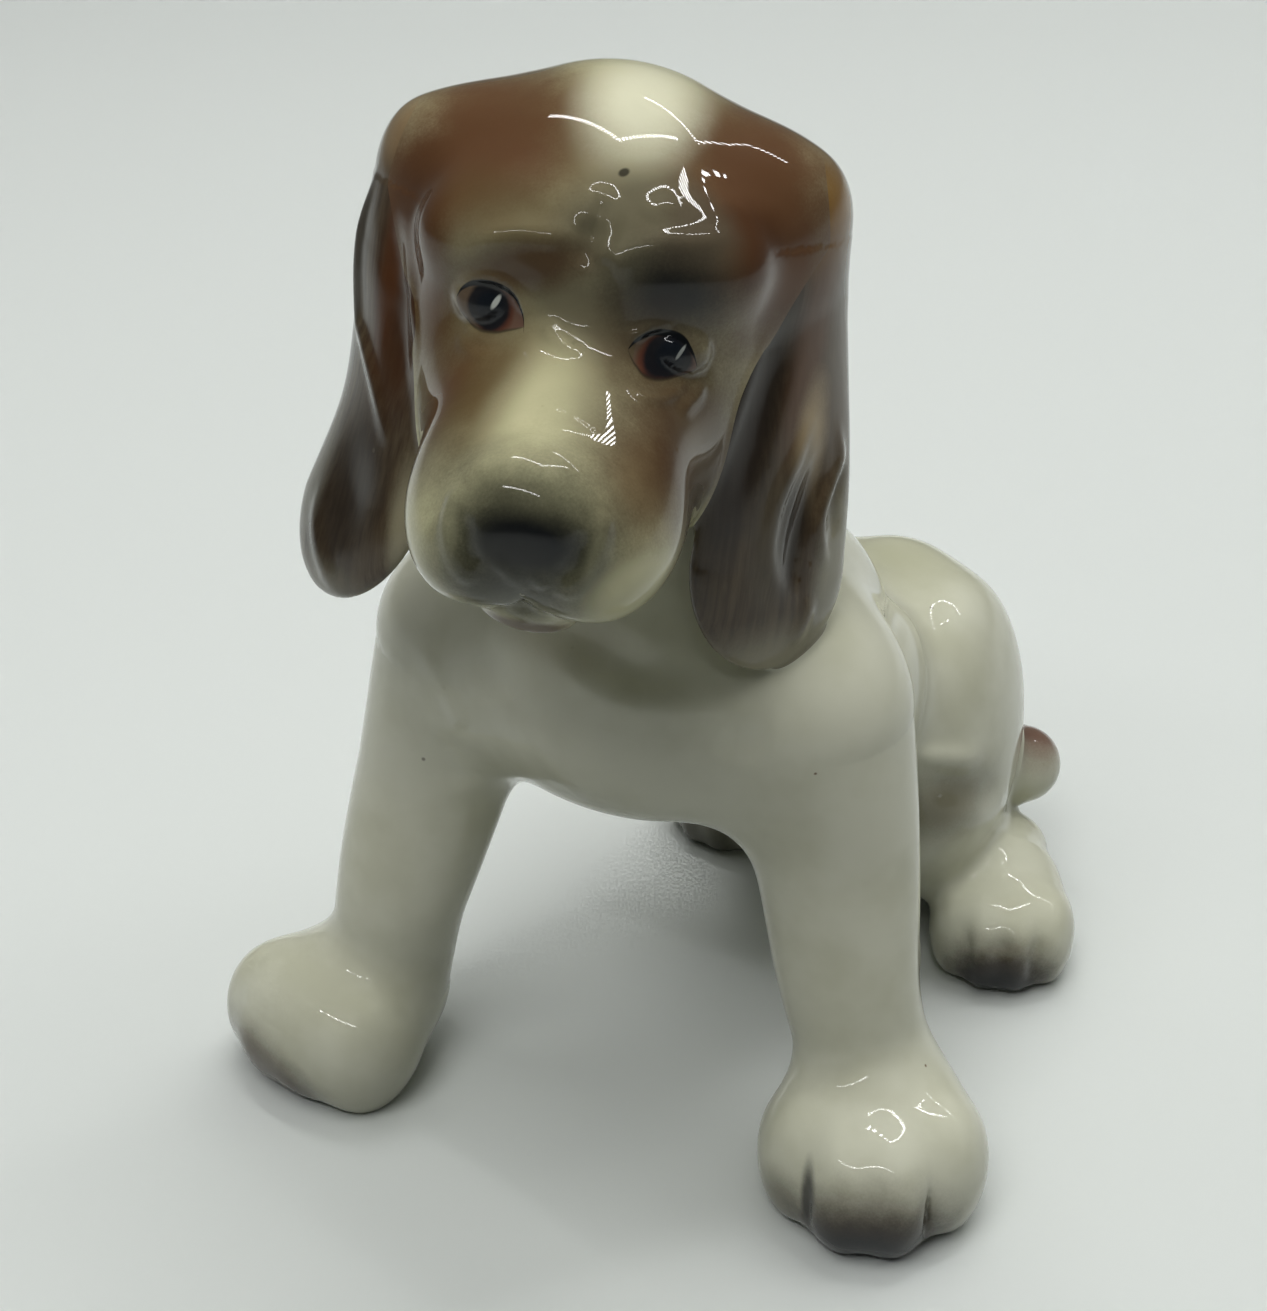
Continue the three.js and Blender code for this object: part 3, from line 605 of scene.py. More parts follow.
def hind_leg_clay(body, hip, heel, heading):
    """A haunch with its hock and paw."""
    ahead = paw_places(heel, heading)
    thigh = lump(hip, (10, 17, 22), (-14, 0, heading * 0.5))
    hock = limb(ahead(-6, 0, 7.5), heel + (0, 0, 7.5), 6, 6.8)
    paw, cuts = paw_clay(heel, heading, body.hind_paw_width, body.hind_paw_long,
                         body.hind_paw_tall, HIND_PAW)
    return blend(4, thigh, blend(4, hock, paw)), cuts


def body_reliefs(skin):
    """Folds of loose skin on the chest, the haunch and over the hind paw."""
    def on(width, height, *points):
        return stroke(snap(skin, points), width, height)
    return [
        on(1.7, 0.3, (-23.6, -25.4, 64.4), (-22.6, -26.2, 62.0), (-20.1, -27.0, 61.6)),
        on(1.7, 0.3, (-19.2, -27.3, 60.5), (-19.3, -27.2, 57.4), (-17.1, -27.6, 55.3)),
        on(3.0, -0.4, (-16.0, -28.2, 66.0), (-12.9, -29.0, 63.8), (-11.5, -29.4, 61.0)),
        on(2.4, 0.7, (-5.8, -29.0, 70.3), (-2.0, -29.5, 68.6), (1.8, -29.7, 66.5), (7.6, -28.3, 65.4),
           (14.7, -25.5, 66.4), (18.5, -23.5, 66.5)),
        on(2.8, -0.9, (-4.5, -28.6, 73.3), (-1.8, -28.6, 72.2), (2.0, -28.7, 70.4), (6.1, -28.0, 69.2),
           (13.1, -24.9, 69.8)),
        on(2.6, -0.5, (14.0, -26.0, 62.6), (17.4, -25.8, 62.4), (20.2, -23.5, 61.5)),
        on(3.0, 0.6, (-6.7, -30.5, 62.3), (-4.3, -30.2, 56.2), (-0.2, -26.6, 48.7)),
        on(3.2, -0.5, (-22.2, -26.3, 54.4), (-21.5, -25.4, 48.2), (-21.4, -24.3, 42.9)),
        on(3.5, -1.2, (10.5, 36.0, 52.2), (13.5, 28.0, 54.0), (20.2, 12.0, 57.0), (26.0, 0.0, 58.5)),
        on(2.4, -1.3, (22.4, 18.3, 30.5), (25.9, 20.7, 30.2), (29.0, 26.0, 27.3), (31.5, 33.0, 22.5)),
        on(1.6, 0.7, (24.0, 14.0, 36.0), (27.5, 19.0, 35.0), (30.0, 26.0, 32.5)),
    ]


# Fillets where masses meet, in millimetres. That of an ear grows by a further amount up to its root.
FORELEG_FILLET, HIND_LEG_FILLET, NECK_FILLET, TAIL_FILLET, EYE_FILLET = 8, 6, 3.0, 2.5, 0.6
EAR_FILLET, EAR_ROOT_FILLET = 1.0, 8.0
EYEBALL = (4.1, 3.35, 3.2)


class Puppy:
    """The whole figurine in clay, from the sizes that are set."""

    def __init__(self, head, body):
        self.middle = head_middle(head)
        face, jawed = head_clay(head)
        reliefs = face_reliefs(face)
        balls = [lump(land(face, [eye])[0] + (0, 3.2, 0), EYEBALL) for eye in EYES]
        self.head_mass = blend(EYE_FILLET, carved(jawed, reliefs), *balls)
        plain = [ear_clay(head, 1, EAR_LEFT), ear_clay(head, -1, EAR_RIGHT)]
        combed = ear_reliefs(*plain)
        self.ears = [carved(ear, work) for ear, work in zip(plain, combed)]
        h = HINGES
        legs = [foreleg_clay(body, 1, h.wrist_left, h.heel_left, h.turn_left, FOREPAW_LEFT),
                foreleg_clay(body, -1, h.wrist_right, h.heel_right, h.turn_right, FOREPAW_RIGHT),
                hind_leg_clay(body, h.hip_left, h.hind_heel_left, h.hind_turn_left),
                hind_leg_clay(body, h.hip_right, h.hind_heel_right, h.hind_turn_right)]
        cuts = [cut for leg in legs for cut in leg[1]]
        joined = blend(FORELEG_FILLET, trunk_clay(body, head), legs[0][0], legs[1][0])
        joined = blend(HIND_LEG_FILLET, joined, legs[2][0], legs[3][0])
        self.body_mass = carved(joined, cuts + body_reliefs(joined))
        self.tail = limb(h.tail, h.tail + h.tail_way * body.tail_long, body.tail_width / 2,
                         body.tail_width * 0.46)

    def head_cloud(self, cloud):
        """The same places along the head's own axes."""
        return Cloud((cloud.xyz - self.middle) @ HEAD_ROWS, (cloud.mid - self.middle) @ HEAD_ROWS,
                     cloud.rad)

    def parts(self, cloud):
        """Body, head, left ear, right ear and tail, each on its own."""
        near = self.head_cloud(cloud)
        return [self.body_mass(cloud), self.head_mass(near), self.ears[0](near), self.ears[1](near),
                self.tail(cloud)]

    def skin(self, cloud):
        """The castings luted together, standing on the table."""
        body, head, left, right, tail = self.parts(cloud)
        f = smooth(body, head, NECK_FILLET)
        rise = np.clip((self.head_cloud(cloud).xyz[:, 2] + 1) / 10, 0, 1)
        root = EAR_FILLET + EAR_ROOT_FILLET * rise
        for ear in (left, right):
            if not isinstance(ear, float):
                f = ear if isinstance(f, float) else smooth(f, ear, root)
        f = smooth(f, tail, TAIL_FILLET)
        return f if isinstance(f, float) else np.maximum(f, -cloud.xyz[:, 2])


# Skin: faces laid over the clay, then cut into the castings

# The space that the clay stands in, in millimetres, and more blocks than it ever has across.
CLAY_LOW, CLAY_HIGH = (-62, -66, -2.5), (52, 66, 134)
BLOCKS_ACROSS = 4096
# What stands in for the depth of cells that the skin doesn't come near.
DEEP = 50.0
# A seam's vertex moves this far in one go, and only where its seam is nearer than this.
SEAM_STEP, SEAM_NEAR = 0.35, 2.5
# How deep the hidden cap of an opening is dished.
CAP_DEPTH = 0.8


def in_blocks(places, size):
    """Rows of places that lie in the same block of space."""
    key = np.floor(places / size).astype(np.int64)
    key = (key[:, 0] * BLOCKS_ACROSS + key[:, 1]) * BLOCKS_ACROSS + key[:, 2]
    order = np.argsort(key, kind="stable")
    return np.split(order, np.flatnonzero(np.diff(key[order])) + 1)


def evaluate(field, places, size=FINE_BLOCK):
    out = np.empty(len(places))
    for rows in in_blocks(places, size):
        out[rows] = field(Cloud(places[rows]))
    return out


def slope(field, places, f, step=0.03):
    """Which way a field rises, and how steeply."""
    return np.stack([(evaluate(field, places + d) - f) / step for d in np.eye(3) * step], 1)


def nets(field, low, high, grain):
    """Quads over the skin of a field, one vertex in each cell that the skin crosses."""
    low = np.array(low, float)
    count = np.ceil((np.array(high) - low) / grain).astype(int) + 1
    side = 6
    blocks = -(-count // side)
    corners = np.stack(np.meshgrid(*[np.arange(k) for k in blocks], indexing="ij"), -1).reshape(-1, 3)
    middles = low + grain * side * (corners + 0.5)
    rough = evaluate(field, middles, COARSE_BLOCK)
    F = np.where(rough < 0, -DEEP, DEEP).reshape(blocks)
    F = F.repeat(side, 0).repeat(side, 1).repeat(side, 2)
    inner = np.stack(np.meshgrid(*[np.arange(side)] * 3, indexing="ij"), -1).reshape(-1, 3)
    # only blocks that the skin may cross: nearer than half a block's diagonal and the widest fillet
    for b in np.flatnonzero(np.abs(rough) < grain * side * 0.87 + 4.0):
        i, j, k = np.array(np.unravel_index(b, blocks)) * side
        v = field(Cloud(low + grain * (inner + (i, j, k))))
        F[i:i + side, j:j + side, k:k + side] = v if isinstance(v, float) else v.reshape([side] * 3)
    cells = np.array(F.shape) - 1
    total, hits = np.zeros((*cells, 3)), np.zeros(cells)

    def corner(o):
        return F[o[0]:o[0] + cells[0], o[1]:o[1] + cells[1], o[2]:o[2] + cells[2]]
    for o in np.ndindex(2, 2, 2):
        for a in range(3):
            if o[a] == 0:
                q = list(o)
                q[a] = 1
                f0, f1 = corner(o), corner(q)
                cross = (f0 < 0) != (f1 < 0)
                t = np.where(cross, f0 / np.where(cross, f0 - f1, 1), 0)
                for b in range(3):
                    total[..., b] += np.where(cross, o[b] + (t if b == a else 0), 0)
                hits += cross
    active = hits > 0
    index = -np.ones(cells, int)
    index[active] = np.arange(active.sum())
    V = low + grain * (np.argwhere(active) + total[active] / hits[active][:, None])
    quads = []
    for a in range(3):
        b, d = (a + 1) % 3, (a + 2) % 3
        near, far = [slice(None)] * 3, [slice(None)] * 3
        near[a], far[a] = slice(0, -1), slice(1, None)
        near, far = tuple(near), tuple(far)
        edge = np.argwhere((F[near] < 0) != (F[far] < 0))
        outward = F[near][tuple(edge.T)] < 0
        ring = []
        for ob, od in ((1, 1), (0, 1), (0, 0), (1, 0)):
            z = edge.copy()
            z[:, b] -= ob
            z[:, d] -= od
            ring.append(index[tuple(z.T)])
        ring = np.stack(ring, 1)
        ring[~outward] = ring[~outward][:, ::-1]
        quads.append(ring)
    return V, np.concatenate(quads)


def relax(V, Q, amount):
    """Vertices moved some way to the middle of their neighbours."""
    total, hits = np.zeros_like(V), np.zeros(len(V))
    for i in range(4):
        a, b = Q[:, i], Q[:, (i + 1) % 4]
        for k in range(3):
            total[:, k] += np.bincount(a, V[b, k], len(V)) + np.bincount(b, V[a, k], len(V))
        hits += np.bincount(a, minlength=len(V)) + np.bincount(b, minlength=len(V))
    return V + amount * (total / np.maximum(hits, 1)[:, None] - V)


def settle(field, V, limit):
    """Vertices moved onto the skin, and the way that it faces there."""
    f = evaluate(field, V)
    g = slope(field, V, f)
    size = np.maximum(np.linalg.norm(g, axis=1, keepdims=True), 0.3)
    step = np.clip(f[:, None] / size, -limit, limit)
    return V - step * g / size, g / np.linalg.norm(g, axis=1, keepdims=True)


def sides_of(Q):
    """The sides of all quads as pairs of vertices: all first sides, then all second ones, and so on."""
    return np.concatenate([Q[:, [i, (i + 1) % 4]] for i in range(4)])


def subdivide(V, Q, owner):
    """Each quad cut into four, its casting kept."""
    edges = np.sort(sides_of(Q), axis=1)
    keys, back = np.unique(edges[:, 0] * len(V) + edges[:, 1], return_inverse=True)
    pairs = np.stack([keys // len(V), keys % len(V)], 1)
    back = back.reshape(4, len(Q)) + len(V)
    middle = np.arange(len(Q)) + len(V) + len(pairs)
    parts = [np.stack([Q[:, i], back[i], middle, back[i - 1]], 1) for i in range(4)]
    return np.vstack([V, V[pairs].mean(1), V[Q].mean(1)]), np.concatenate(parts), np.tile(owner, 4)


def neighbours(Q):
    """Pairs of faces that share an edge."""
    edges = np.sort(sides_of(Q), axis=1)
    face = np.tile(np.arange(len(Q)), 4)
    key = edges[:, 0] * (Q.max() + 1) + edges[:, 1]
    order = np.argsort(key, kind="stable")
    same = key[order][1:] == key[order][:-1]
    return np.stack([face[order][:-1][same], face[order][1:][same]], 1)


def tidy_owners(Q, owner):
    """Small islands of one casting inside another are given to the casting round them."""
    pairs = neighbours(Q)
    for _ in range(3):
        votes = np.zeros((len(Q), len(CASTINGS)))
        np.add.at(votes, (pairs[:, 0], owner[pairs[:, 1]]), 1)
        np.add.at(votes, (pairs[:, 1], owner[pairs[:, 0]]), 1)
        # a face's own casting counts as one and a half neighbours
        votes[np.arange(len(Q)), owner] += 1.5
        owner = votes.argmax(1)
    for _ in range(4):
        inside = owner[pairs[:, 0]] == owner[pairs[:, 1]]
        a, b = pairs[inside].T
        island = np.arange(len(Q))
        while True:
            low = island.copy()
            np.minimum.at(low, a, island[b])
            np.minimum.at(low, b, island[a])
            low = low[low]
            if (low == island).all():
                break
            island = low
        size = np.bincount(island, minlength=len(Q))
        main = [max(np.unique(island[owner == c]), key=lambda i: size[i]) for c in range(len(CASTINGS))]
        stray = ~np.isin(island, main)
        if not stray.any():
            break
        votes = np.zeros((len(Q), len(CASTINGS)))
        for one, two in ((0, 1), (1, 0)):
            edge = stray[pairs[:, one]] & ~stray[pairs[:, two]]
            np.add.at(votes, (island[pairs[edge, one]], owner[pairs[edge, two]]), 1)
        owner = np.where(stray & (votes[island].sum(1) > 0), votes[island].argmax(1), owner)
    return owner


def in_block(places, centre, way, half, back=90.0):
    """Whether places lie in a block that starts at a face and runs along a way."""
    way = unit(way)
    d = places - centre
    along = d @ way
    aside = d - along[:, None] * way
    return (along > 0) & (along < back) & (np.abs(aside) < half).all(1)


def each_mass(puppy, places):
    """What body, head, left ear, right ear and tail each answer for every place."""
    part = np.empty((len(places), 5))
    for rows in in_blocks(places, FINE_BLOCK):
        cloud = Cloud(places[rows])
        part[rows] = np.stack([for_each(p, len(rows)) for p in puppy.parts(cloud)], 1)
    return part


def ease_seams(puppy, V, N, Q, owner):
    """Vertices between two masses moved along the skin to where they meet, for a smooth seam."""
    mass = MASS_OF_CASTING[owner]
    one, two = np.full(len(V), 9), np.full(len(V), -1)
    for corner in Q.T:
        np.minimum.at(one, corner, mass)
        np.maximum.at(two, corner, mass)
    seam = np.flatnonzero(one != two)
    pick = np.arange(len(seam))

    def lead(places):
        part = each_mass(puppy, places)
        return part[pick, one[seam]] - part[pick, two[seam]]
    for _ in range(3):
        at = V[seam]
        f = lead(at)
        g = np.stack([(lead(at + d) - f) / PROBE for d in np.eye(3) * PROBE], 1)
        g -= (g * N[seam]).sum(1, keepdims=True) * N[seam]
        step = (f / np.maximum((g * g).sum(1), 0.05))[:, None] * g
        far = np.linalg.norm(step, axis=1, keepdims=True)
        V[seam] = at - step * np.minimum(1, SEAM_STEP / np.maximum(far, 1e-9)) * (far < SEAM_NEAR)
    return V


def casting_of(puppy, body, places):
    """Which casting each place on the skin belongs to."""
    owner = CASTING_OF_MASS[each_mass(puppy, places).argmin(1)]
    h = HINGES
    for s, wrist, name in ((1, h.wrist_left, "foreleg_left"), (-1, h.wrist_right, "foreleg_right")):
        shoulder = shoulder_at(body, s)
        top = mix(shoulder, mix(shoulder, wrist, ELBOW) + (s, 0, 0), 0.62)
        owner[(owner == 0) & in_block(places, top, wrist - top, 17)] = CASTINGS.index(name)
    for s, hip, inset, lean, name in ((1, h.hip_left, 3.5, 0.3, "hind_leg_left"),
                                      (-1, h.hip_right, 0.5, 0.5, "hind_leg_right")):
        owner[(owner == 0) & in_block(places, hip - (s * inset, 0, 0), vec(s, lean, -0.2), 60)
              & (np.abs(places[:, 1] - hip[1]) < 26)] = CASTINGS.index(name)
    return owner


# What the modelling leaves for the castings to be cut from: vertices, quads, facings and owners.
SKIN = {}


def lay_skin():
    """The skin of the whole figurine, kept until its castings are cut from it."""
    scene = bpy.context.scene
    head, body = millimetres(scene.puppy_head), millimetres(scene.puppy_body)
    puppy = Puppy(head, body)
    V, Q = nets(puppy.skin, CLAY_LOW, CLAY_HIGH, body.grain)
    V = relax(V, Q, 0.5)
    V, N = settle(puppy.skin, V, 0.6)
    V, N = settle(puppy.skin, V, 0.6)
    owner = tidy_owners(Q, casting_of(puppy, body, V[Q].mean(1)))
    V, N = settle(puppy.skin, ease_seams(puppy, V, N, Q, owner), 0.3)
    V, Q, owner = subdivide(V, Q, owner)
    V = settle(puppy.skin, V, 0.3)[0]
    V, N = settle(puppy.skin, relax(V, Q, 0.3), 0.3)
    V, N = settle(puppy.skin, ease_seams(puppy, V, N, Q, owner), 0.3)
    V[:, 2] = np.maximum(V[:, 2], 0)
    SKIN.update(V=(V + FOOTPRINT) * MM, Q=Q, N=N, owner=owner)


def rings(Q):
    """The open borders of a patch of quads, each as one ring of vertices."""
    edges = sides_of(Q)
    key = np.sort(edges, axis=1)
    key = key[:, 0] * (Q.max() + 1) + key[:, 1]
    _, first, count = np.unique(key, return_index=True, return_counts=True)
    after = {}
    for a, b in edges[first[count == 1]]:
        after.setdefault(int(b), []).append(int(a))
    out = []
    while after:
        start = next(iter(after))
        ring, here = [], start
        while here in after:
            ring.append(here)
            nexts = after[here]
            here = nexts.pop()
            if not nexts:
                del after[ring[-1]]
        out.append(ring)
    return out


def cut_casting(name, material):
    """One casting as an object of its own, closed inside where it is luted to its neighbours."""
    number = CASTINGS.index(name)
    Q = SKIN["Q"][SKIN["owner"] == number]
    used, local = np.unique(Q, return_inverse=True)
    Q = local.reshape(-1, 4)
    V, N = SKIN["V"][used], SKIN["N"][used]
    caps, extra = [], []
    for ring in rings(Q):
        centre = len(V) + len(extra)
        inward = -N[ring].mean(0)
        extra.append(V[ring].mean(0) + inward * CAP_DEPTH * MM)
        caps += [(ring[i], ring[(i + 1) % len(ring)], centre) for i in range(len(ring))]
    if extra:
        V = np.vstack([V, extra])
    mesh = bpy.data.meshes.new(name)
    mesh.vertices.add(len(V))
    mesh.vertices.foreach_set("co", V.ravel())
    mesh.loops.add(4 * len(Q) + 3 * len(caps))
    corners = np.concatenate([Q.ravel(), np.array(caps, int).ravel()]).astype(np.int32)
    mesh.loops.foreach_set("vertex_index", corners)
    mesh.polygons.add(len(Q) + len(caps))
    starts = np.concatenate([np.arange(len(Q)) * 4, 4 * len(Q) + np.arange(len(caps)) * 3])
    mesh.polygons.foreach_set("loop_start", starts.astype(np.int32))
    mesh.update(calc_edges=True)
    mesh.validate()
    mesh.shade_smooth()
    faces = np.zeros((len(mesh.loops), 3))
    faces[:4 * len(Q)] = N[Q.ravel()]
    for i, face in enumerate(mesh.polygons[len(Q):]):
        faces[4 * len(Q) + 3 * i:4 * len(Q) + 3 * i + 3] = face.normal
    mesh.normals_split_custom_set(faces)
    piece = bpy.data.objects.new(name + "_glazed", mesh)
    bpy.context.scene.collection.objects.link(piece)
    mesh.materials.append(material)
    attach(piece, "root")
    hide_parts(name)


# Paint: node groups that more than one glaze uses, and the glazes themselves

def plug(tree, socket, given):
    """A socket linked to another, or given a value."""
    if isinstance(given, bpy.types.NodeSocket):
        tree.links.new(given, socket)
    else:
        socket.default_value = given


def node(tree, kind, inputs=None, **settings):
    """A node with its settings, its inputs typed in or linked."""
    made = tree.nodes.new(kind)
    for key, setting in settings.items():
        setattr(made, key, setting)
    for key, given in (inputs or {}).items():
        plug(tree, made.inputs[key], given)
    return made


def maths(tree, operation, a, b=0.0, c=0.0, clamp=False):
    return node(tree, "ShaderNodeMath", {0: a, 1: b, 2: c}, operation=operation,
                use_clamp=clamp).outputs[0]


def times(tree, first, *others):
    """The product of several numbers or sockets."""
    for other in others:
        first = maths(tree, "MULTIPLY", first, other)
    return first


def minus(tree, a, b):
    return maths(tree, "SUBTRACT", a, b)


def plus(tree, a, b):
    return maths(tree, "ADD", a, b)


def below(tree, a, b):
    return maths(tree, "LESS_THAN", a, b)


def apart(tree, a, b):
    """How far two values are from each other."""
    return maths(tree, "ABSOLUTE", minus(tree, a, b))


def vectors(tree, operation, a, b=(0, 0, 0)):
    made = node(tree, "ShaderNodeVectorMath", {0: a, 1: b}, operation=operation)
    return made.outputs["Value" if operation in ("LENGTH", "DOT_PRODUCT") else "Vector"]


def ramp(tree, given, low, high, to_low=0.0, to_high=1.0):
    """A soft step from one value to another."""
    made = node(tree, "ShaderNodeMapRange", {"Value": given, "From Min": low, "From Max": high,
                                             "To Min": to_low, "To Max": to_high},
                interpolation_type="SMOOTHSTEP")
    return made.outputs["Result"]


def noise(tree, place, scale, detail=2.0, roughness=0.5):
    return node(tree, "ShaderNodeTexNoise", {"Vector": place, "Scale": scale, "Detail": detail,
                                             "Roughness": roughness}).outputs["Fac"]


def mix_colour(tree, amount, under, over):
    made = node(tree, "ShaderNodeMix", data_type="RGBA")
    # inputs 6 and 7 are the node's two colours, and output 2 is their mixture
    for socket, given in ((0, amount), (6, under), (7, over)):
        plug(tree, made.inputs[socket], given)
    return made.outputs[2]


def new_group(name, takes, gives):
    """An empty node group with named sockets, and its tree, input node and output node."""
    group = bpy.data.node_groups.new(name, "ShaderNodeTree")
    for label, kind, default in takes:
        socket = group.interface.new_socket(name=label, in_out="INPUT", socket_type=kind)
        if default is not None:
            socket.default_value = default
    for label, kind in gives:
        group.interface.new_socket(name=label, in_out="OUTPUT", socket_type=kind)
    return group, node(group, "NodeGroupInput"), node(group, "NodeGroupOutput")


def place_group(tree, name, inputs=None):
    return node(tree, "ShaderNodeGroup", inputs, node_tree=bpy.data.node_groups[name])


VECTOR, FLOAT = "NodeSocketVector", "NodeSocketFloat"


def axes_groups():
    """Places on the figurine in millimetres: along the head's own axes, and along the clay's."""
    middle = head_middle(millimetres(bpy.context.scene.puppy_head))
    turn = Matrix(HEAD_ROWS.tolist()).to_euler("XYZ")
    for name, origin, rotation in (("Head axes", middle, turn), ("Body axes", vec(0, 0, 0), (0, 0, 0))):
        group, _, out = new_group(name, (), (("Place", VECTOR),))
        given = node(group, "ShaderNodeTexCoord").outputs["Object"]
        turned = node(group, "ShaderNodeMapping",
                      {"Vector": given, "Location": Vector((origin + FOOTPRINT) * MM),
                       "Rotation": rotation, "Scale": (MM, MM, MM)}, vector_type="TEXTURE")
        group.links.new(turned.outputs[0], out.inputs["Place"])


def airbrush_group():
    """A soft sprayed spot with a grainy edge."""
    group, given, out = new_group(
        "Airbrushed spot",
        (("Place", VECTOR, None), ("Centre", VECTOR, (0, 0, 0)), ("Reach", VECTOR, (1, 1, 1)),
         ("Turn", VECTOR, (0, 0, 0)), ("Softness", FLOAT, 0.5), ("Strength", FLOAT, 1.0)),
        (("Mask", FLOAT),))
    place = given.outputs["Place"]
    away = vectors(group, "SUBTRACT", place, given.outputs["Centre"])
    away = node(group, "ShaderNodeVectorRotate", {"Vector": away, "Rotation": given.outputs["Turn"]},
                rotation_type="EULER_XYZ").outputs[0]
    far = vectors(group, "LENGTH", vectors(group, "DIVIDE", away, given.outputs["Reach"]))
    soft = given.outputs["Softness"]
    # the edge wanders a little, and the droplets of the spray show in it where it is soft
    wander = minus(group, noise(group, place, 0.28, 3.0), 0.5)
    droplets = minus(group, noise(group, place, 3.2, 2.0, 0.7), 0.5)
    far = plus(group, far, times(group, wander, 0.3))
    far = plus(group, far, times(group, droplets, 0.3, soft))
    mask = ramp(group, far, plus(group, 1.0, soft), minus(group, 1.0, soft))
    group.links.new(maths(group, "MULTIPLY", mask, given.outputs["Strength"], clamp=True),
                    out.inputs["Mask"])


def combed_group():
    """Fine streaks left by a brush, long in one direction."""
    group, given, out = new_group(
        "Combed streaks",
        (("Place", VECTOR, None), ("Fineness", VECTOR, (1.2, 1.2, 0.12)), ("Contrast", FLOAT, 1.0)),
        (("Mask", FLOAT),))
    place = vectors(group, "MULTIPLY", given.outputs["Place"], given.outputs["Fineness"])
    sway = node(group, "ShaderNodeTexNoise", {"Vector": given.outputs["Place"], "Scale": 0.12})
    streak = noise(group, vectors(group, "ADD", place, sway.outputs["Color"]), 1.0, 4.0, 0.62)
    half = maths(group, "DIVIDE", 0.22, given.outputs["Contrast"])
    group.links.new(ramp(group, streak, minus(group, 0.5, half), plus(group, 0.5, half)),
                    out.inputs["Mask"])


def scattered(tree, place, scale):
    """How far the nearest of many scattered dots is, and three random numbers that each dot has."""
    dots = node(tree, "ShaderNodeTexVoronoi", {"Vector": place, "Scale": scale, "Randomness": 1.0},
                feature="F1").outputs
    return dots["Distance"], node(tree, "ShaderNodeSeparateColor", {0: dots["Color"]}).outputs


def glaze_group():
    """Clear glaze: slow ripples, orange peel and pinholes, as a height, with a mask of the pinholes."""
    group, given, out = new_group(
        "Glaze surface",
        (("Place", VECTOR, None), ("Ripple", FLOAT, 1.0), ("Pinholes", FLOAT, 1.0)),
        (("Height", FLOAT), ("Pits", FLOAT), ("Pooling", FLOAT)))
    place = given.outputs["Place"]
    slow = noise(group, place, 0.11, 2.0)
    peel = noise(group, place, 0.55, 2.0)
    distance, chance = scattered(group, place, 0.16)
    some = maths(group, "GREATER_THAN", chance[0], 0.62)
    pit = times(group, ramp(group, distance, 0.055, 0.02), some, given.outputs["Pinholes"])
    wave = plus(group, times(group, slow, 0.85), times(group, peel, 0.10))
    wave = times(group, wave, given.outputs["Ripple"])
    group.links.new(minus(group, wave, times(group, pit, 0.12)), out.inputs["Height"])
    group.links.new(pit, out.inputs["Pits"])
    group.links.new(noise(group, place, 0.07, 2.0), out.inputs["Pooling"])


def specks_group():
    """Small dark specks of iron in the clay."""
    group, given, out = new_group("Iron specks", (("Place", VECTOR, None), ("Amount", FLOAT, 0.5)),
                                  (("Mask", FLOAT),))
    place = given.outputs["Place"]
    distance, chance = scattered(group, place, 0.21)
    near = plus(group, distance, times(group, noise(group, place, 2.5), 0.05))
    some = below(group, chance[1], times(group, given.outputs["Amount"], 0.3))
    group.links.new(times(group, ramp(group, near, 0.085, 0.045), some), out.inputs["Mask"])


class Coat:
    """Layers of paint, put over each other in one material."""

    def __init__(self, tree, place, ground):
        self.tree, self.place, self.colour = tree, place, ground

    def over(self, mask, paint):
        self.colour = mix_colour(self.tree, mask, self.colour, paint)

    def spot(self, paint, centre, reach, softness=0.5, strength=1.0, turn=0.0, lean=0.0):
        """Sprayed over a centre; turned about the upright, or leant over as seen from the front."""
        made = place_group(self.tree, "Airbrushed spot",
                           {"Place": self.place, "Centre": centre, "Reach": reach, "Softness": softness,
                            "Strength": strength, "Turn": (0, -np.radians(lean), np.radians(turn))})
        self.over(made.outputs["Mask"], paint)

    def spots(self, table, paint):
        """Sprayed in the order of a table, with a named paint or one mixed for the spot."""
        for key, centre, reach, lean, softness, strength in table:
            mixed = getattr(paint, key) if isinstance(key, str) else (*key, 1.0)
            self.spot(mixed, centre, reach, softness, strength, lean=lean)


def drawn_height(tree, across, points):
    """Height of a line drawn by hand, as a curve over its run across."""
    xs, zs = [p[0] for p in points], [p[1] for p in points]
    x0, x1, z0, z1 = xs[0], xs[-1], min(zs) - 0.5, max(zs) + 0.5
    run = maths(tree, "DIVIDE", minus(tree, across, x0), x1 - x0, clamp=True)
    made = node(tree, "ShaderNodeFloatCurve", {"Value": run})
    line = made.mapping.curves[0]
    spots = [((x - x0) / (x1 - x0), (z - z0) / (z1 - z0)) for x, z in points]
    line.points[0].location = spots[0]
    line.points[1].location = spots[-1]
    for spot in spots[1:-1]:
        line.points.new(*spot)
    made.mapping.update()
    return maths(tree, "MULTIPLY_ADD", made.outputs[0], z1 - z0, z0), run


def brush_line(tree, axes, points, width):
    """Mask of one brush line on the front of the head, thin at both ends."""
    across, back, up = axes
    height, run = drawn_height(tree, across, points)
    swell = times(tree, run, minus(tree, 1.0, run), 4.0)
    half = times(tree, maths(tree, "POWER", maths(tree, "MAXIMUM", swell, 0.0001), 0.4), width / 2)
    mask = ramp(tree, apart(tree, up, height), plus(tree, half, BRUSH_EDGE), minus(tree, half, BRUSH_EDGE))
    inside = below(tree, apart(tree, run, 0.5), 0.4999)
    return times(tree, mask, times(tree, inside, below(tree, back, LINES_AHEAD)))


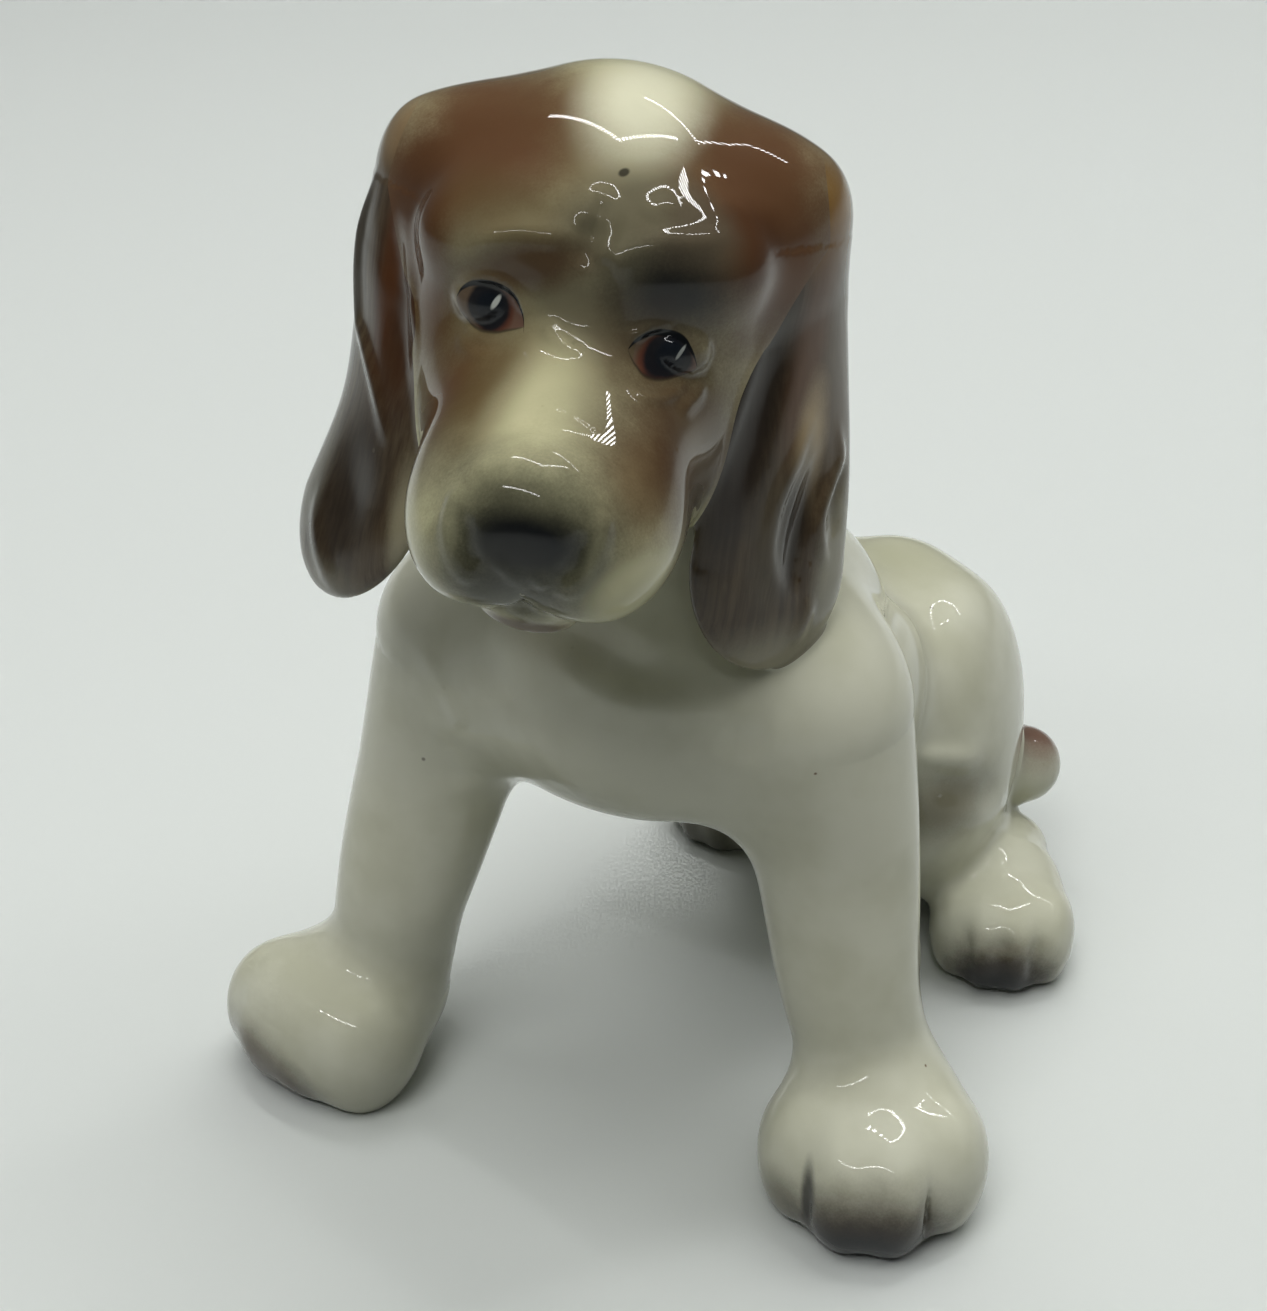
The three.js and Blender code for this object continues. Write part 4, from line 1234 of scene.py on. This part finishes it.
# Lines of the lids on the front of the head, (across, up), with their widths and strengths.
LID_LINES = (
    # the dog's right eye: upper lid, lower lid
    ((-12.5, 1.9), (-11.6, 3.3), (-10.5, 3.9), (-8.4, 4.1), (-6.7, 3.5), (-5.7, 2.3), (-5.0, 0.2)),
    ((-12.4, 1.4), (-11.2, -0.1), (-10.0, -0.7), (-8.3, -0.6), (-6.6, 0.0), (-5.2, 0.6)),
    # the dog's left eye
    ((5.4, 0.1), (6.3, 1.1), (7.6, 1.7), (8.9, 1.8), (10.3, 1.5), (11.4, 0.5), (12.2, -1.3)),
    ((5.4, 0.0), (6.5, -1.3), (7.9, -2.2), (9.4, -2.5), (10.9, -2.2), (12.2, -1.5)),
)
LID_WIDTHS, LID_STRENGTHS = (0.72, 0.24, 0.72, 0.24), (1.0, 0.6, 1.0, 0.6)
# How soft the side of a brush line is, and what of the head counts as its front for lines and eyes.
BRUSH_EDGE = 0.09
LINES_AHEAD, EYES_AHEAD = -14.0, -15.0
# For each eye its lids, the middle and reach of the iris, the corners, and how far the brown rim
# lies beside the iris. THROUGH is a reach so long that the spot goes right through the head.
THROUGH = 60
EYE_LOOKS = ((LID_LINES[:2], (-9.0, 1.75), (2.35, 2.55), (-12.5, -5.0), 0.35),
             (LID_LINES[2:], (9.3, -0.35), (2.55, 2.4), (6.0, 12.1), -0.4))
EYE_WHITE, EYE_CORNER = (0.12, 0.085, 0.055, 1), (0.16, 0.085, 0.06, 1)
EYE_DARK, PUPIL = (0.012, 0.012, 0.014, 1), (0.006, 0.009, 0.014, 1)
# Painted highlights, a lamp's reflection painted as a touch of white on each iris: upper end, lower end,
# half width, strength.
PAINTED_EYE_HIGHLIGHTS = (((-7.95, 3.05), (-8.65, 1.65), 0.32, 0.80), ((10.7, 0.65), (10.2, -0.35), 0.20, 0.4))
PAINTED_HIGHLIGHT_WHITE = (0.75, 0.80, 0.74, 1)


def paint_eyes(coat, axes, paint):
    """Whites, irises, pupils, lids and painted highlights on the irises, drawn with a fine brush."""
    tree = coat.tree
    across, back, up = axes
    front = below(tree, back, EYES_AHEAD)
    for lids, (x, z), (wide, tall), (x0, x1), aside in EYE_LOOKS:
        top, low = (drawn_height(tree, across, lid)[0] for lid in lids)
        between = times(tree, ramp(tree, minus(tree, top, up), -0.1, 0.15),
                        ramp(tree, minus(tree, up, low), -0.1, 0.15),
                        below(tree, apart(tree, across, (x0 + x1) / 2), (x1 - x0) / 2), front)
        ball = Coat(tree, coat.place, EYE_WHITE)
        ball.spot(EYE_CORNER, (x1 - 0.9, -20.5, z), (1.3, 9, 2.4), 0.35, 0.7)
        ball.spot(paint.iris, (x + aside, 0, z - 0.15), (wide + 0.15, THROUGH, tall), 0.12)
        ball.spot(EYE_DARK, (x, 0, z), (wide, THROUGH, tall), 0.12)
        ball.spot(PUPIL, (x + 0.2, 0, z + 0.1), (1.5, THROUGH, 1.6), 0.25)
        coat.over(between, ball.colour)
    for points, width, strength in zip(LID_LINES, LID_WIDTHS, LID_STRENGTHS):
        line = brush_line(tree, axes, points, width)
        coat.over(times(tree, line, strength), paint.black)
    # a painted highlight on each iris: white where the glaze would reflect a lamp
    for start, end, width, strength in PAINTED_EYE_HIGHLIGHTS:
        middle = ((start[0] + end[0]) / 2, 0, (start[1] + end[1]) / 2)
        lean = np.arctan2(start[0] - end[0], start[1] - end[1])
        away = vectors(tree, "SUBTRACT", coat.place, middle)
        away = node(tree, "ShaderNodeVectorRotate", {"Vector": away, "Angle": -lean},
                    rotation_type="Y_AXIS").outputs[0]
        far = vectors(tree, "LENGTH", vectors(tree, "DIVIDE", away, (width, THROUGH, 0.95)))
        coat.over(times(tree, ramp(tree, far, 1.15, 0.7), strength), PAINTED_HIGHLIGHT_WHITE)


# Dirt in the pinholes of the glaze, and the iron specks in the clay.
PIT_DIRT, SPECK = (0.12, 0.10, 0.07, 1), (0.20, 0.15, 0.09, 1)


def glaze(coat, ripple, pinholes):
    """The clear glaze over a coat of paint."""
    tree = coat.tree
    surface = place_group(tree, "Glaze surface",
                          {"Place": coat.place, "Ripple": ripple, "Pinholes": pinholes})
    pitted = mix_colour(tree, times(tree, surface.outputs["Pits"], 0.7), coat.colour, PIT_DIRT)
    bump = node(tree, "ShaderNodeBump", {"Height": surface.outputs["Height"], "Strength": 0.35,
                                         "Distance": 0.4 * MM})
    rough = ramp(tree, surface.outputs["Pooling"], 0.3, 0.7, 0.38, 0.50)
    shader = node(tree, "ShaderNodeBsdfPrincipled",
                  {"Base Color": pitted, "Roughness": rough, "Normal": bump.outputs[0],
                   "Coat Weight": 1.0, "Coat Roughness": 0.02, "Coat IOR": 1.38,
                   "Specular IOR Level": 0.05})
    node(tree, "ShaderNodeOutputMaterial", {"Surface": shader.outputs[0]})


def new_material(name):
    material = bpy.data.materials.new(name)
    material.use_nodes = True
    material.node_tree.nodes.clear()
    return material, material.node_tree


def start_glaze(name, axes):
    """A new material, its tree, the paints, and the places on the figurine along some axes."""
    material, tree = new_material(name)
    return material, tree, paints(), place_group(tree, axes).outputs["Place"]


def ground_coat(tree, place, paint):
    """Cream porcelain, a little greener and yellower where the glaze has pooled."""
    coat = Coat(tree, place, paint.cream)
    mottle = ramp(tree, noise(tree, place, 0.09, 3.0), 0.35, 0.75, 0.0, 0.35)
    coat.over(mottle, paint.moss)
    coat.over(place_group(tree, "Iron specks", {"Place": place, "Amount": 0.35}).outputs["Mask"], SPECK)
    return coat


# Spots are sprayed in the order of their tables. Each row is a paint's name or its red, green and
# blue, the middle, the reach across, back and up, the lean in degrees, the softness and the strength.
CROWN_SPOTS = (
    # the nape turns to the body's cream, and the brown runs round behind both ears
    ("cream", (0.0, 16.0, -15.0), (26.0, 20.0, 13.0), 0, 0.60, 1.00),
    ("amber", (-17.0, 8.0, 9.0), (11.0, 15.0, 12.0), 0, 0.60, 0.85),
    ("amber", (17.0, 8.0, 9.0), (11.0, 15.0, 12.0), 0, 0.60, 0.85),
    ("rust", (-18.5, 6.0, 9.5), (8.0, 14.0, 9.0), 0, 0.50, 0.90),
    ("rust", (18.5, 6.0, 9.5), (8.0, 14.0, 9.0), 0, 0.50, 0.90),
    ("olive", (-4.0, -20.3, 6.1), (24.9, 24.9, 17.3), -40, 0.43, 0.65),
    ("amber", (-11.0, -8.0, 19.0), (9.5, 18.0, 6.5), 25, 0.60, 0.80),
    ("amber", (13.5, -9.0, 18.0), (6.5, 17.0, 6.5), 0, 0.60, 0.80),
    ("rust", (-17.9, -12.4, 11.2), (16.8, 16.8, 6.0), -38, 0.61, 1.00),
    ("rust", (17.4, -10.6, 10.0), (8.2, 17.6, 17.6), -21, 0.69, 1.00),
    ("rust", (-12.5, -11.0, 17.3), (7.0, 14.0, 3.8), 25, 0.60, 0.70),
    ("rust", (14.8, -10.0, 16.5), (4.2, 14.0, 4.5), 0, 0.60, 0.62),
    ("blaze", (3.0, -11.0, 24.0), (6.0, 14.0, 7.0), 12, 0.55, 0.95),
    ("umber", (-18.3, -18.5, 5.2), (3.6, 10.7, 10.7), -7, 0.80, 0.99),
    ("umber", (13.3, -16.9, 10.0), (8.5, 9.0, 4.2), -6, 0.34, 0.69),
)
FACE_SPOTS_AND_HIGHLIGHTS = (
    ("amber", (-1.1, -19.1, 16.4), (6.9, 9.0, 3.5), 33, 0.80, 0.15),
    ("olive", (-8.0, -20.0, 11.0), (7.5, 9.0, 3.2), 10, 0.60, 0.55),
    ("smoke", (6.0, -21.0, 11.0), (8.9, 9.0, 7.0), -8, 0.31, 0.67),
    ("smoke", (1.8, -21.9, 2.9), (9.3, 9.3, 3.1), 19, 0.58, 0.67),
    ("black", (8.9, -21.4, 5.6), (5.2, 9.0, 3.8), 7, 0.75, 0.95),
    ("umber", (-5.9, -21.5, 6.5), (6.1, 9.0, 2.4), -15, 0.62, 0.79),
    ("amber", (-16.9, -19.0, 1.1), (3.8, 9.0, 7.2), -11, 0.80, 0.99),
    # cheeks
    ("amber", (-13.6, -26.7, -5.8), (6.8, 9.0, 8.8), 40, 0.72, 0.98),
    ("amber", (9.6, -35.1, -8.5), (5.4, 9.0, 6.1), 12, 0.67, 0.79),
    ("umber", (14.7, -23.1, -10.1), (6.1, 14.4, 14.4), -40, 0.59, 0.89),
    ("smoke", (9.4, -18.1, 1.0), (3.6, 9.0, 2.9), 3, 0.52, 0.30),
    ("olive", (-7.0, -31.6, -3.9), (3.5, 9.0, 7.4), 17, 0.42, 0.57),
    # the bridge stays pale
    ("face", (-1.3, -33.4, -4.1), (3.8, 9.0, 6.5), 13, 0.70, 0.64),
    ("smoke", (-12.2, -40.6, -10.2), (4.7, 9.0, 3.0), -38, 0.75, 0.58),
    # nose and the mist round it
    ("soot", (0.4, -45.5, -13.4), (9.8, 10.1, 7.5), 12, 0.62, 0.90),
    ("black", (-0.1, -45.4, -13.6), (5.2, 9.0, 2.9), -2, 0.40, 1.00),
    ("soot", (-1.8, -43.7, -20.8), (7.6, 9.0, 5.8), 30, 0.70, 0.90),
    ("face", (11.3, -41.8, -19.1), (4.3, 9.0, 3.7), 1, 0.46, 0.97),
    # pale wings of the nostrils: a faint painted highlight along their ridges
    ("moss", (-7.2, -43.0, -14.0), (0.6, 6.0, 3.0), -4, 0.80, 0.15),
    ("moss", (6.4, -43.0, -14.6), (0.6, 6.0, 2.8), 8, 0.80, 0.15),
    ("smoke", (3.5, -30.4, -6.9), (4.0, 9.0, 4.6), -6, 0.80, 0.43),
    # the lower lip, and the black speck on the forehead
    ((0.10, 0.058, 0.036), (-0.5, -35.5, -25.6), (5.2, 4.6, 1.5), 0, 0.45, 0.85),
    ((0.02, 0.017, 0.012), (2.3, -16.1, 15.9), (0.55, 2, 0.36), -20, 0.30, 0.85),
)
EAR_GROUND, EAR_STREAK = (0.050, 0.032, 0.016, 1), (0.17, 0.13, 0.075, 1)
EAR_SPOTS = {
    "left": (
        ((0.27, 0.14, 0.025), (23.8, -4, 11.5), (4, 6, 5), 0, 0.70, 0.85),
        ((0.10, 0.07, 0.04), (27.5, -2, -2), (3.2, 9, 15), 0, 0.50, 0.85),
        ("rust", (23.0, -6, -1), (1.9, 7, 13), 4, 0.60, 0.85),
        ((0.52, 0.41, 0.24), (24.6, -7, -11), (1.5, 5, 6), 0, 0.60, 0.70),
        ((0.085, 0.072, 0.048), (22.2, -11, -20), (2.2, 6, 8), 0, 0.60, 0.70),
        ("bark", (18.5, -14, -8), (3.0, 8, 18), 8, 0.50, 0.90),
        ("bark", (24.3, -8, -20), (1.4, 5, 8), 0, 0.60, 0.80),
        # the hem and the outer edge are thinly sprayed
        ((0.32, 0.30, 0.20), (24, -9, -35.6), (8, 8, 3.4), 0, 0.95, 0.75),
        ((0.34, 0.33, 0.24), (29.5, -2, -26), (2.2, 6, 10), 0, 0.60, 0.70),
    ),
    "right": (
        ((0.24, 0.16, 0.08), (-22.5, -4, 14.5), (4, 6, 3.5), 0, 0.70, 0.70),
        ("umber", (-19.5, -9, 0), (4.0, 8, 15), 4, 0.50, 0.85),
        ((0.10, 0.035, 0.010), (-21.0, -7, 4), (1.3, 6, 11), 4, 0.60, 0.70),
        ("bark", (-23.6, -9, -24), (4.6, 7, 10.5), 10, 0.60, 0.78),
        ((0.37, 0.34, 0.22), (-16.0, -15, -25), (1.8, 6, 7), 0, 0.60, 0.70),
        ((0.06, 0.055, 0.045), (-26.5, -3, 0), (1.5, 7, 12), 3, 0.60, 0.80),
        ((0.22, 0.22, 0.18), (-29.5, -6, -24), (2.0, 6, 9), 12, 0.60, 0.70),
        ((0.24, 0.23, 0.17), (-26, -9, -36), (8, 7, 3.2), 0, 0.80, 0.70),
    ),
}
BODY_TINTS_AND_SHADE = (
    ("moss", (9, 42, 50), (10, 9, 5), 0, 0.70, 0.55),
    # painted shade in the crease over the hind paw, and painted shade below the jaw
    ((0.17, 0.15, 0.085), (25.0, 21.5, 27.5), (6, 8, 5), 0, 0.70, 0.80),
    ((0.30, 0.27, 0.17), (-5, -29, 72.5), (10, 5, 4), 0, 0.60, 0.40),
)
TAIL_SPOTS = (
    ((0.12, 0.045, 0.028), (27.0, 49, 23.5), (7, 6, 4.5), 0, 0.60, 0.90),
    ((0.19, 0.175, 0.13), (20.0, 51, 16), (6, 7, 5), 0, 0.70, 0.50),
)
TOE, NAIL = (0.10, 0.08, 0.055, 1), (0.016, 0.016, 0.018, 1)
# For each paw: heel, heading, length, reach of the dark toes across and up, strength.
PAW_TONES = (("heel_left", "turn_left", "paw_long", 13, 10.5, 1.0),
             ("heel_right", "turn_right", "paw_long", 12, 7.5, 0.85),
             ("hind_heel_left", "hind_turn_left", "hind_paw_long", 10, 9.0, 1.0),
             ("hind_heel_right", "hind_turn_right", "hind_paw_long", 10, 8.0, 0.55))


def crown_coat(tree, place, paint):
    """Cream with the brown of the crown, which runs from the head on over the roots of the ears."""
    coat = Coat(tree, place, paint.face)
    coat.spots(CROWN_SPOTS, paint)
    return coat


def head_glaze():
    """Paint of the head: blaze, brown patches, smoky brow, cheeks, nose and eyes, with painted highlights
    on the irises and the wings of the nostrils.
    """
    material, tree, paint, place = start_glaze("Glazed head", "Head axes")
    axes = tuple(node(tree, "ShaderNodeSeparateXYZ", {0: place}).outputs)
    coat = crown_coat(tree, place, paint)
    coat.spots(FACE_SPOTS_AND_HIGHLIGHTS, paint)
    paint_eyes(coat, axes, paint)
    glaze(coat, ripple=0.8, pinholes=0.6)
    return material


def ear_glaze(side):
    """Paint of an ear: brown at the root, dark and grey below, combed in streaks."""
    material, tree, paint, place = start_glaze("Glazed ear " + side, "Head axes")
    coat = crown_coat(tree, place, paint)
    fall = ramp(tree, node(tree, "ShaderNodeSeparateXYZ", {0: place}).outputs[2], 14.5, 8.0)
    coat.over(fall, EAR_GROUND)
    streaks = place_group(tree, "Combed streaks", {"Place": place, "Fineness": (1.1, 1.1, 0.07),
                                                   "Contrast": 1.3}).outputs["Mask"]
    coat.over(times(tree, streaks, 0.35, fall), EAR_STREAK)
    coat.spots(EAR_SPOTS[side], paint)
    glaze(coat, ripple=1.0, pinholes=0.5)
    return material


def body_glaze():
    """Cream body with the toes sprayed dark, a few smudges of the brush, and painted shade over the hind
    paw and below the jaw.
    """
    material, tree, paint, place = start_glaze("Glazed body", "Body axes")
    coat = ground_coat(tree, place, paint)
    # a moss tint, and painted shade in the crease over the hind paw and below the jaw
    coat.spots(BODY_TINTS_AND_SHADE, paint)
    body = millimetres(bpy.context.scene.puppy_body)
    for heel, heading, size, wide, tall, strength in PAW_TONES:
        turn, long = getattr(HINGES, heading), getattr(body, size)
        front = paw_places(getattr(HINGES, heel), turn)(long * 0.92, 0, 1.0)
        coat.spot(TOE, front, (wide, long * 0.36, tall), 0.40, strength, -turn)
        coat.spot(NAIL, front, (wide * 0.85, long * 0.32, tall * 0.62), 0.5, strength, -turn)
    # a smudge outside the right forepaw, and two in the cut of the left one
    coat.spot((0.12, 0.09, 0.055, 1), (-44.5, -43, 3.5), (8, 7, 6.5), 0.5, 0.85, 25)
    turn = HINGES.turn_left
    left = paw_places(HINGES.heel_left, turn)
    coat.spot((0.03, 0.028, 0.026, 1), left(19.5, -7.2, 8), (0.8, 3.0, 4.5), 0.5, 0.85, -turn)
    coat.spot((0.10, 0.085, 0.06, 1), left(16.5, -10.5, 5), (2.6, 5.0, 4.2), 0.6, 0.6, -turn)
    glaze(coat, ripple=1.0, pinholes=1.0)
    return material


def tail_glaze():
    """Tail: red brown sprayed over its root, fading to grey white."""
    material, tree, paint, place = start_glaze("Glazed tail", "Body axes")
    coat = ground_coat(tree, place, paint)
    coat.spots(TAIL_SPOTS, paint)
    glaze(coat, ripple=1.0, pinholes=0.5)
    return material


# Operators: the skin, each group of castings, and the studio

class PUPPY_OT_model_clay(bpy.types.Operator):
    """Model the whole figurine in clay, ready to be cut into its castings"""
    bl_idname = "puppy.model_clay"
    bl_label = "Model the clay"

    def execute(self, context):
        lay_skin()
        return {"FINISHED"}


class PUPPY_OT_mix_glazes(bpy.types.Operator):
    """Mix the effects that the glazes share: axes, airbrush, streaks, specks and the clear surface"""
    bl_idname = "puppy.mix_glazes"
    bl_label = "Mix the glazes"

    def execute(self, context):
        axes_groups()
        airbrush_group()
        combed_group()
        glaze_group()
        specks_group()
        return {"FINISHED"}


class PUPPY_OT_cast_head(bpy.types.Operator):
    """Cut out the head with its muzzle and paint its face"""
    bl_idname = "puppy.cast_head"
    bl_label = "Head"

    def execute(self, context):
        cut_casting("head", head_glaze())
        return {"FINISHED"}


class PUPPY_OT_cast_ears(bpy.types.Operator):
    """Cut out the two hanging ears and comb their paint"""
    bl_idname = "puppy.cast_ears"
    bl_label = "Ears"

    def execute(self, context):
        cut_casting("ear_left", ear_glaze("left"))
        cut_casting("ear_right", ear_glaze("right"))
        return {"FINISHED"}


class PUPPY_OT_cast_body(bpy.types.Operator):
    """Cut out the torso and the four legs in one cream glaze"""
    bl_idname = "puppy.cast_body"
    bl_label = "Torso and legs"

    def execute(self, context):
        material = body_glaze()
        for name in ("torso", "foreleg_left", "foreleg_right", "hind_leg_left", "hind_leg_right"):
            cut_casting(name, material)
        return {"FINISHED"}


class PUPPY_OT_cast_tail(bpy.types.Operator):
    """Cut out the short curled tail"""
    bl_idname = "puppy.cast_tail"
    bl_label = "Tail"

    def execute(self, context):
        cut_casting("tail", tail_glaze())
        return {"FINISHED"}


# The studio, in metres and watts. Soft panels: name, place, power, size.
PANEL_AIM = (0, 0, 0.05)
PANELS = (
    ("panel_middle", (0.0, 0.0, 1.2), 3.4, (1.6, 0.6)),
    ("panel_front", (0.0, -0.5, 1.2), 4.1, (0.6, 0.6)),
    ("panel_back", (0.0, 0.8, 1.2), 5.3, (1.4, 1.0)),
    ("panel_right", (-0.9, -0.4, 1.2), 1.0, (0.6, 0.6)),
    ("panel_left", (1.1, 0.6, 1.2), 2.6, (0.6, 0.6)),
)
# Rows of small lights: name, one end, other end, width, power.
ROWS = (
    ("row_middle", (-0.50, 0.25), (0.05, 0.10), 0.027, 1.0),
    ("row_back", (0.05, 0.10), (0.30, 0.47), 0.027, 0.8),
    ("row_far", (-0.10, 0.70), (0.45, 0.68), 0.027, 0.7),
    ("row_front", (-0.35, -0.60), (0.40, -0.68), 0.045, 1.8),
)
ROW_HEIGHT = 0.85
# Length from one small light to the next, the lit share of it, and the strength of the lit part.
DASH_LONG, DASH_LIT, DASH_STRENGTH = 0.024, 0.45, 2.2
SKY, SKY_STRENGTH = (0.95, 1.0, 0.97, 1), 0.02
# The sheet's profile from the middle outwards, (radius, height), and its faces round the middle.
SHEET_PROFILE = ((0.0, 0.0), (0.35, 0.0), (0.8, 0.0), (1.4, 0.0), (1.9, 0.04), (2.25, 0.22), (2.45, 0.6),
                 (2.5, 1.2), (2.5, 2.4))
SHEET_AROUND = 96
# The paper as it lights the figurine, dimmer than it looks, and its tone between the fibres.
PAPER_GIVEN_BACK, FIBRE_TONE = (0.36, 0.37, 0.36, 1), 0.9
# The camera: turn, height and roll in degrees, distance and aim in millimetres, film and focal length.
CAMERA_ANGLES, CAMERA_AWAY, CAMERA_AIM = (27.8, 30.9, -1.0), 284.7, (-7.7, -4.2, 55.1)
FILM_WIDE, FOCAL_SHARE = 36.0, 2299 / 1267


def lamp(name, place, power, size):
    """A rectangle of light that faces down and can't be seen itself."""
    data = bpy.data.lights.new(name, "AREA")
    data.shape = "RECTANGLE"
    data.size, data.size_y = size
    data.energy = power
    made = bpy.data.objects.new(name, data)
    made.location = place
    made.visible_camera = False
    bpy.context.scene.collection.objects.link(made)
    return made


def soft_panel(name, place, power, size):
    """A wide lamp aimed at the figurine that leaves no highlight on it."""
    panel = lamp(name, place, power, size)
    panel.rotation_euler = (Vector(PANEL_AIM) - Vector(place)).to_track_quat("-Z", "Y").to_euler()
    panel.visible_glossy = False


def row_of_lights(name, start, end, wide, power):
    """A thin bar overhead whose small lights show one by one, as dashes, in the glaze."""
    across, back = end[0] - start[0], end[1] - start[1]
    long = np.hypot(across, back)
    bar = lamp(name, ((start[0] + end[0]) / 2, (start[1] + end[1]) / 2, ROW_HEIGHT), power, (long, wide))
    bar.rotation_euler = (0, 0, np.arctan2(back, across))
    bar.data.use_nodes = True
    tree = bar.data.node_tree
    along = node(tree, "ShaderNodeSeparateXYZ",
                 {0: node(tree, "ShaderNodeNewGeometry").outputs["Parametric"]}).outputs[0]
    lit = below(tree, maths(tree, "FRACT", times(tree, along, long / DASH_LONG)), DASH_LIT)
    tree.links.new(times(tree, lit, DASH_STRENGTH), tree.nodes["Emission"].inputs["Strength"])


def studio_sheet(paint):
    """A round sheet of pale paper that rises into a wall all round."""
    around = SHEET_AROUND
    V = [(0.0, 0.0, 0.0)]
    for r, z in SHEET_PROFILE[1:]:
        V += [(r * np.cos(a), r * np.sin(a), z) for a in np.arange(around) * 2 * np.pi / around]
    F = [(0, 1 + i, 1 + (i + 1) % around) for i in range(around)]
    for k in range(len(SHEET_PROFILE) - 2):
        a, b = 1 + k * around, 1 + (k + 1) * around
        F += [(a + i, b + i, b + (i + 1) % around, a + (i + 1) % around) for i in range(around)]
    mesh = bpy.data.meshes.new("studio_sheet")
    mesh.from_pydata(V, [], F)
    mesh.shade_smooth()
    material, tree = new_material("Pale paper")
    place = node(tree, "ShaderNodeTexCoord").outputs["Object"]
    pulp = ramp(tree, noise(tree, place, 900.0, 3.0), 0.3, 0.7, 0.0, 0.03)
    fibre = tuple(FIBRE_TONE * c for c in paint.floor[:3]) + (1.0,)
    # the camera and the glaze see the pale paper, and other light comes back from it dimmer
    rays = node(tree, "ShaderNodeLightPath").outputs
    mirrored = plus(tree, rays["Is Glossy Ray"], rays["Is Transmission Ray"])
    seen = maths(tree, "ADD", rays["Is Camera Ray"], mirrored, clamp=True)
    shade = mix_colour(tree, seen, PAPER_GIVEN_BACK, mix_colour(tree, pulp, paint.floor, fibre))
    shader = node(tree, "ShaderNodeBsdfPrincipled", {"Base Color": shade, "Roughness": 0.9,
                                                     "Specular IOR Level": 0.1})
    node(tree, "ShaderNodeOutputMaterial", {"Surface": shader.outputs[0]})
    mesh.materials.append(material)
    sheet = bpy.data.objects.new("studio_sheet", mesh)
    bpy.context.scene.collection.objects.link(sheet)
    sheet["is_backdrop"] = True


def look_from():
    """The camera where the photograph was taken from."""
    a, e, roll = np.radians(CAMERA_ANGLES)
    back = np.array([np.sin(a) * np.cos(e), -np.cos(a) * np.cos(e), np.sin(e)])
    right = np.array([np.cos(a), np.sin(a), 0.0])
    up = np.cross(back, right)
    right, up = np.cos(roll) * right + np.sin(roll) * up, np.cos(roll) * up - np.sin(roll) * right
    target = np.array(CAMERA_AIM) + FOOTPRINT
    data = bpy.data.cameras.new("camera")
    data.sensor_fit, data.sensor_width = "HORIZONTAL", FILM_WIDE
    data.lens = FOCAL_SHARE * FILM_WIDE
    data.clip_start, data.clip_end = 0.01, 20.0
    made = bpy.data.objects.new("camera", data)
    rows = Matrix([[right[i], up[i], back[i]] for i in range(3)]).to_4x4()
    rows.translation = Vector((target + back * CAMERA_AWAY) * MM)
    made.matrix_world = rows
    bpy.context.scene.collection.objects.link(made)
    bpy.context.scene.camera = made


class PUPPY_OT_set_studio(bpy.types.Operator):
    """Lay the pale sheet, hang the lamps and stand the camera"""
    bl_idname = "puppy.set_studio"
    bl_label = "Studio"

    def execute(self, context):
        scene = context.scene
        studio_sheet(paints())
        look_from()
        for panel in PANELS:
            soft_panel(*panel)
        for row in ROWS:
            row_of_lights(*row)
        scene.world = bpy.data.worlds.new("studio")
        scene.world.use_nodes = True
        sky = scene.world.node_tree.nodes["Background"]
        sky.inputs["Color"].default_value = SKY
        sky.inputs["Strength"].default_value = SKY_STRENGTH
        scene.view_settings.view_transform = "Standard"
        return {"FINISHED"}


STEPS = (PUPPY_OT_set_studio, PUPPY_OT_model_clay, PUPPY_OT_mix_glazes, PUPPY_OT_cast_head,
         PUPPY_OT_cast_ears, PUPPY_OT_cast_body, PUPPY_OT_cast_tail)


class PUPPY_PT_panel(bpy.types.Panel):
    """Everything the figurine is made with, in order"""
    bl_idname = "PUPPY_PT_panel"
    bl_label = "Porcelain puppy"
    bl_space_type = "VIEW_3D"
    bl_region_type = "UI"
    bl_category = "Puppy"

    def draw(self, context):
        for step in STEPS:
            self.layout.operator(step.bl_idname)
        for name in ("puppy_head", "puppy_body", "puppy_paint"):
            group = getattr(context.scene, name)
            box = self.layout.box()
            for key in group.__annotations__:
                box.prop(group, key)


GROUPS = {"puppy_head": PuppyHeadSizes, "puppy_body": PuppyBodySizes, "puppy_paint": PuppyPaint}


def register():
    for one in (*GROUPS.values(), *STEPS, PUPPY_PT_panel):
        bpy.utils.register_class(one)
    for name, group in GROUPS.items():
        setattr(bpy.types.Scene, name, PointerProperty(type=group))


def unregister():
    for name in GROUPS:
        delattr(bpy.types.Scene, name)
    for one in reversed((*GROUPS.values(), *STEPS, PUPPY_PT_panel)):
        bpy.utils.unregister_class(one)


def plain(box):
    return [[float(v) for v in corner] for corner in box]


def main():
    register()
    for step in STEPS:
        folder, name = step.bl_idname.split(".")
        getattr(getattr(bpy.ops, folder), name)()
    {"cad": plain(CAD_BOX), "visual": plain(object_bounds())}


if __name__ == "__main__":
    main()
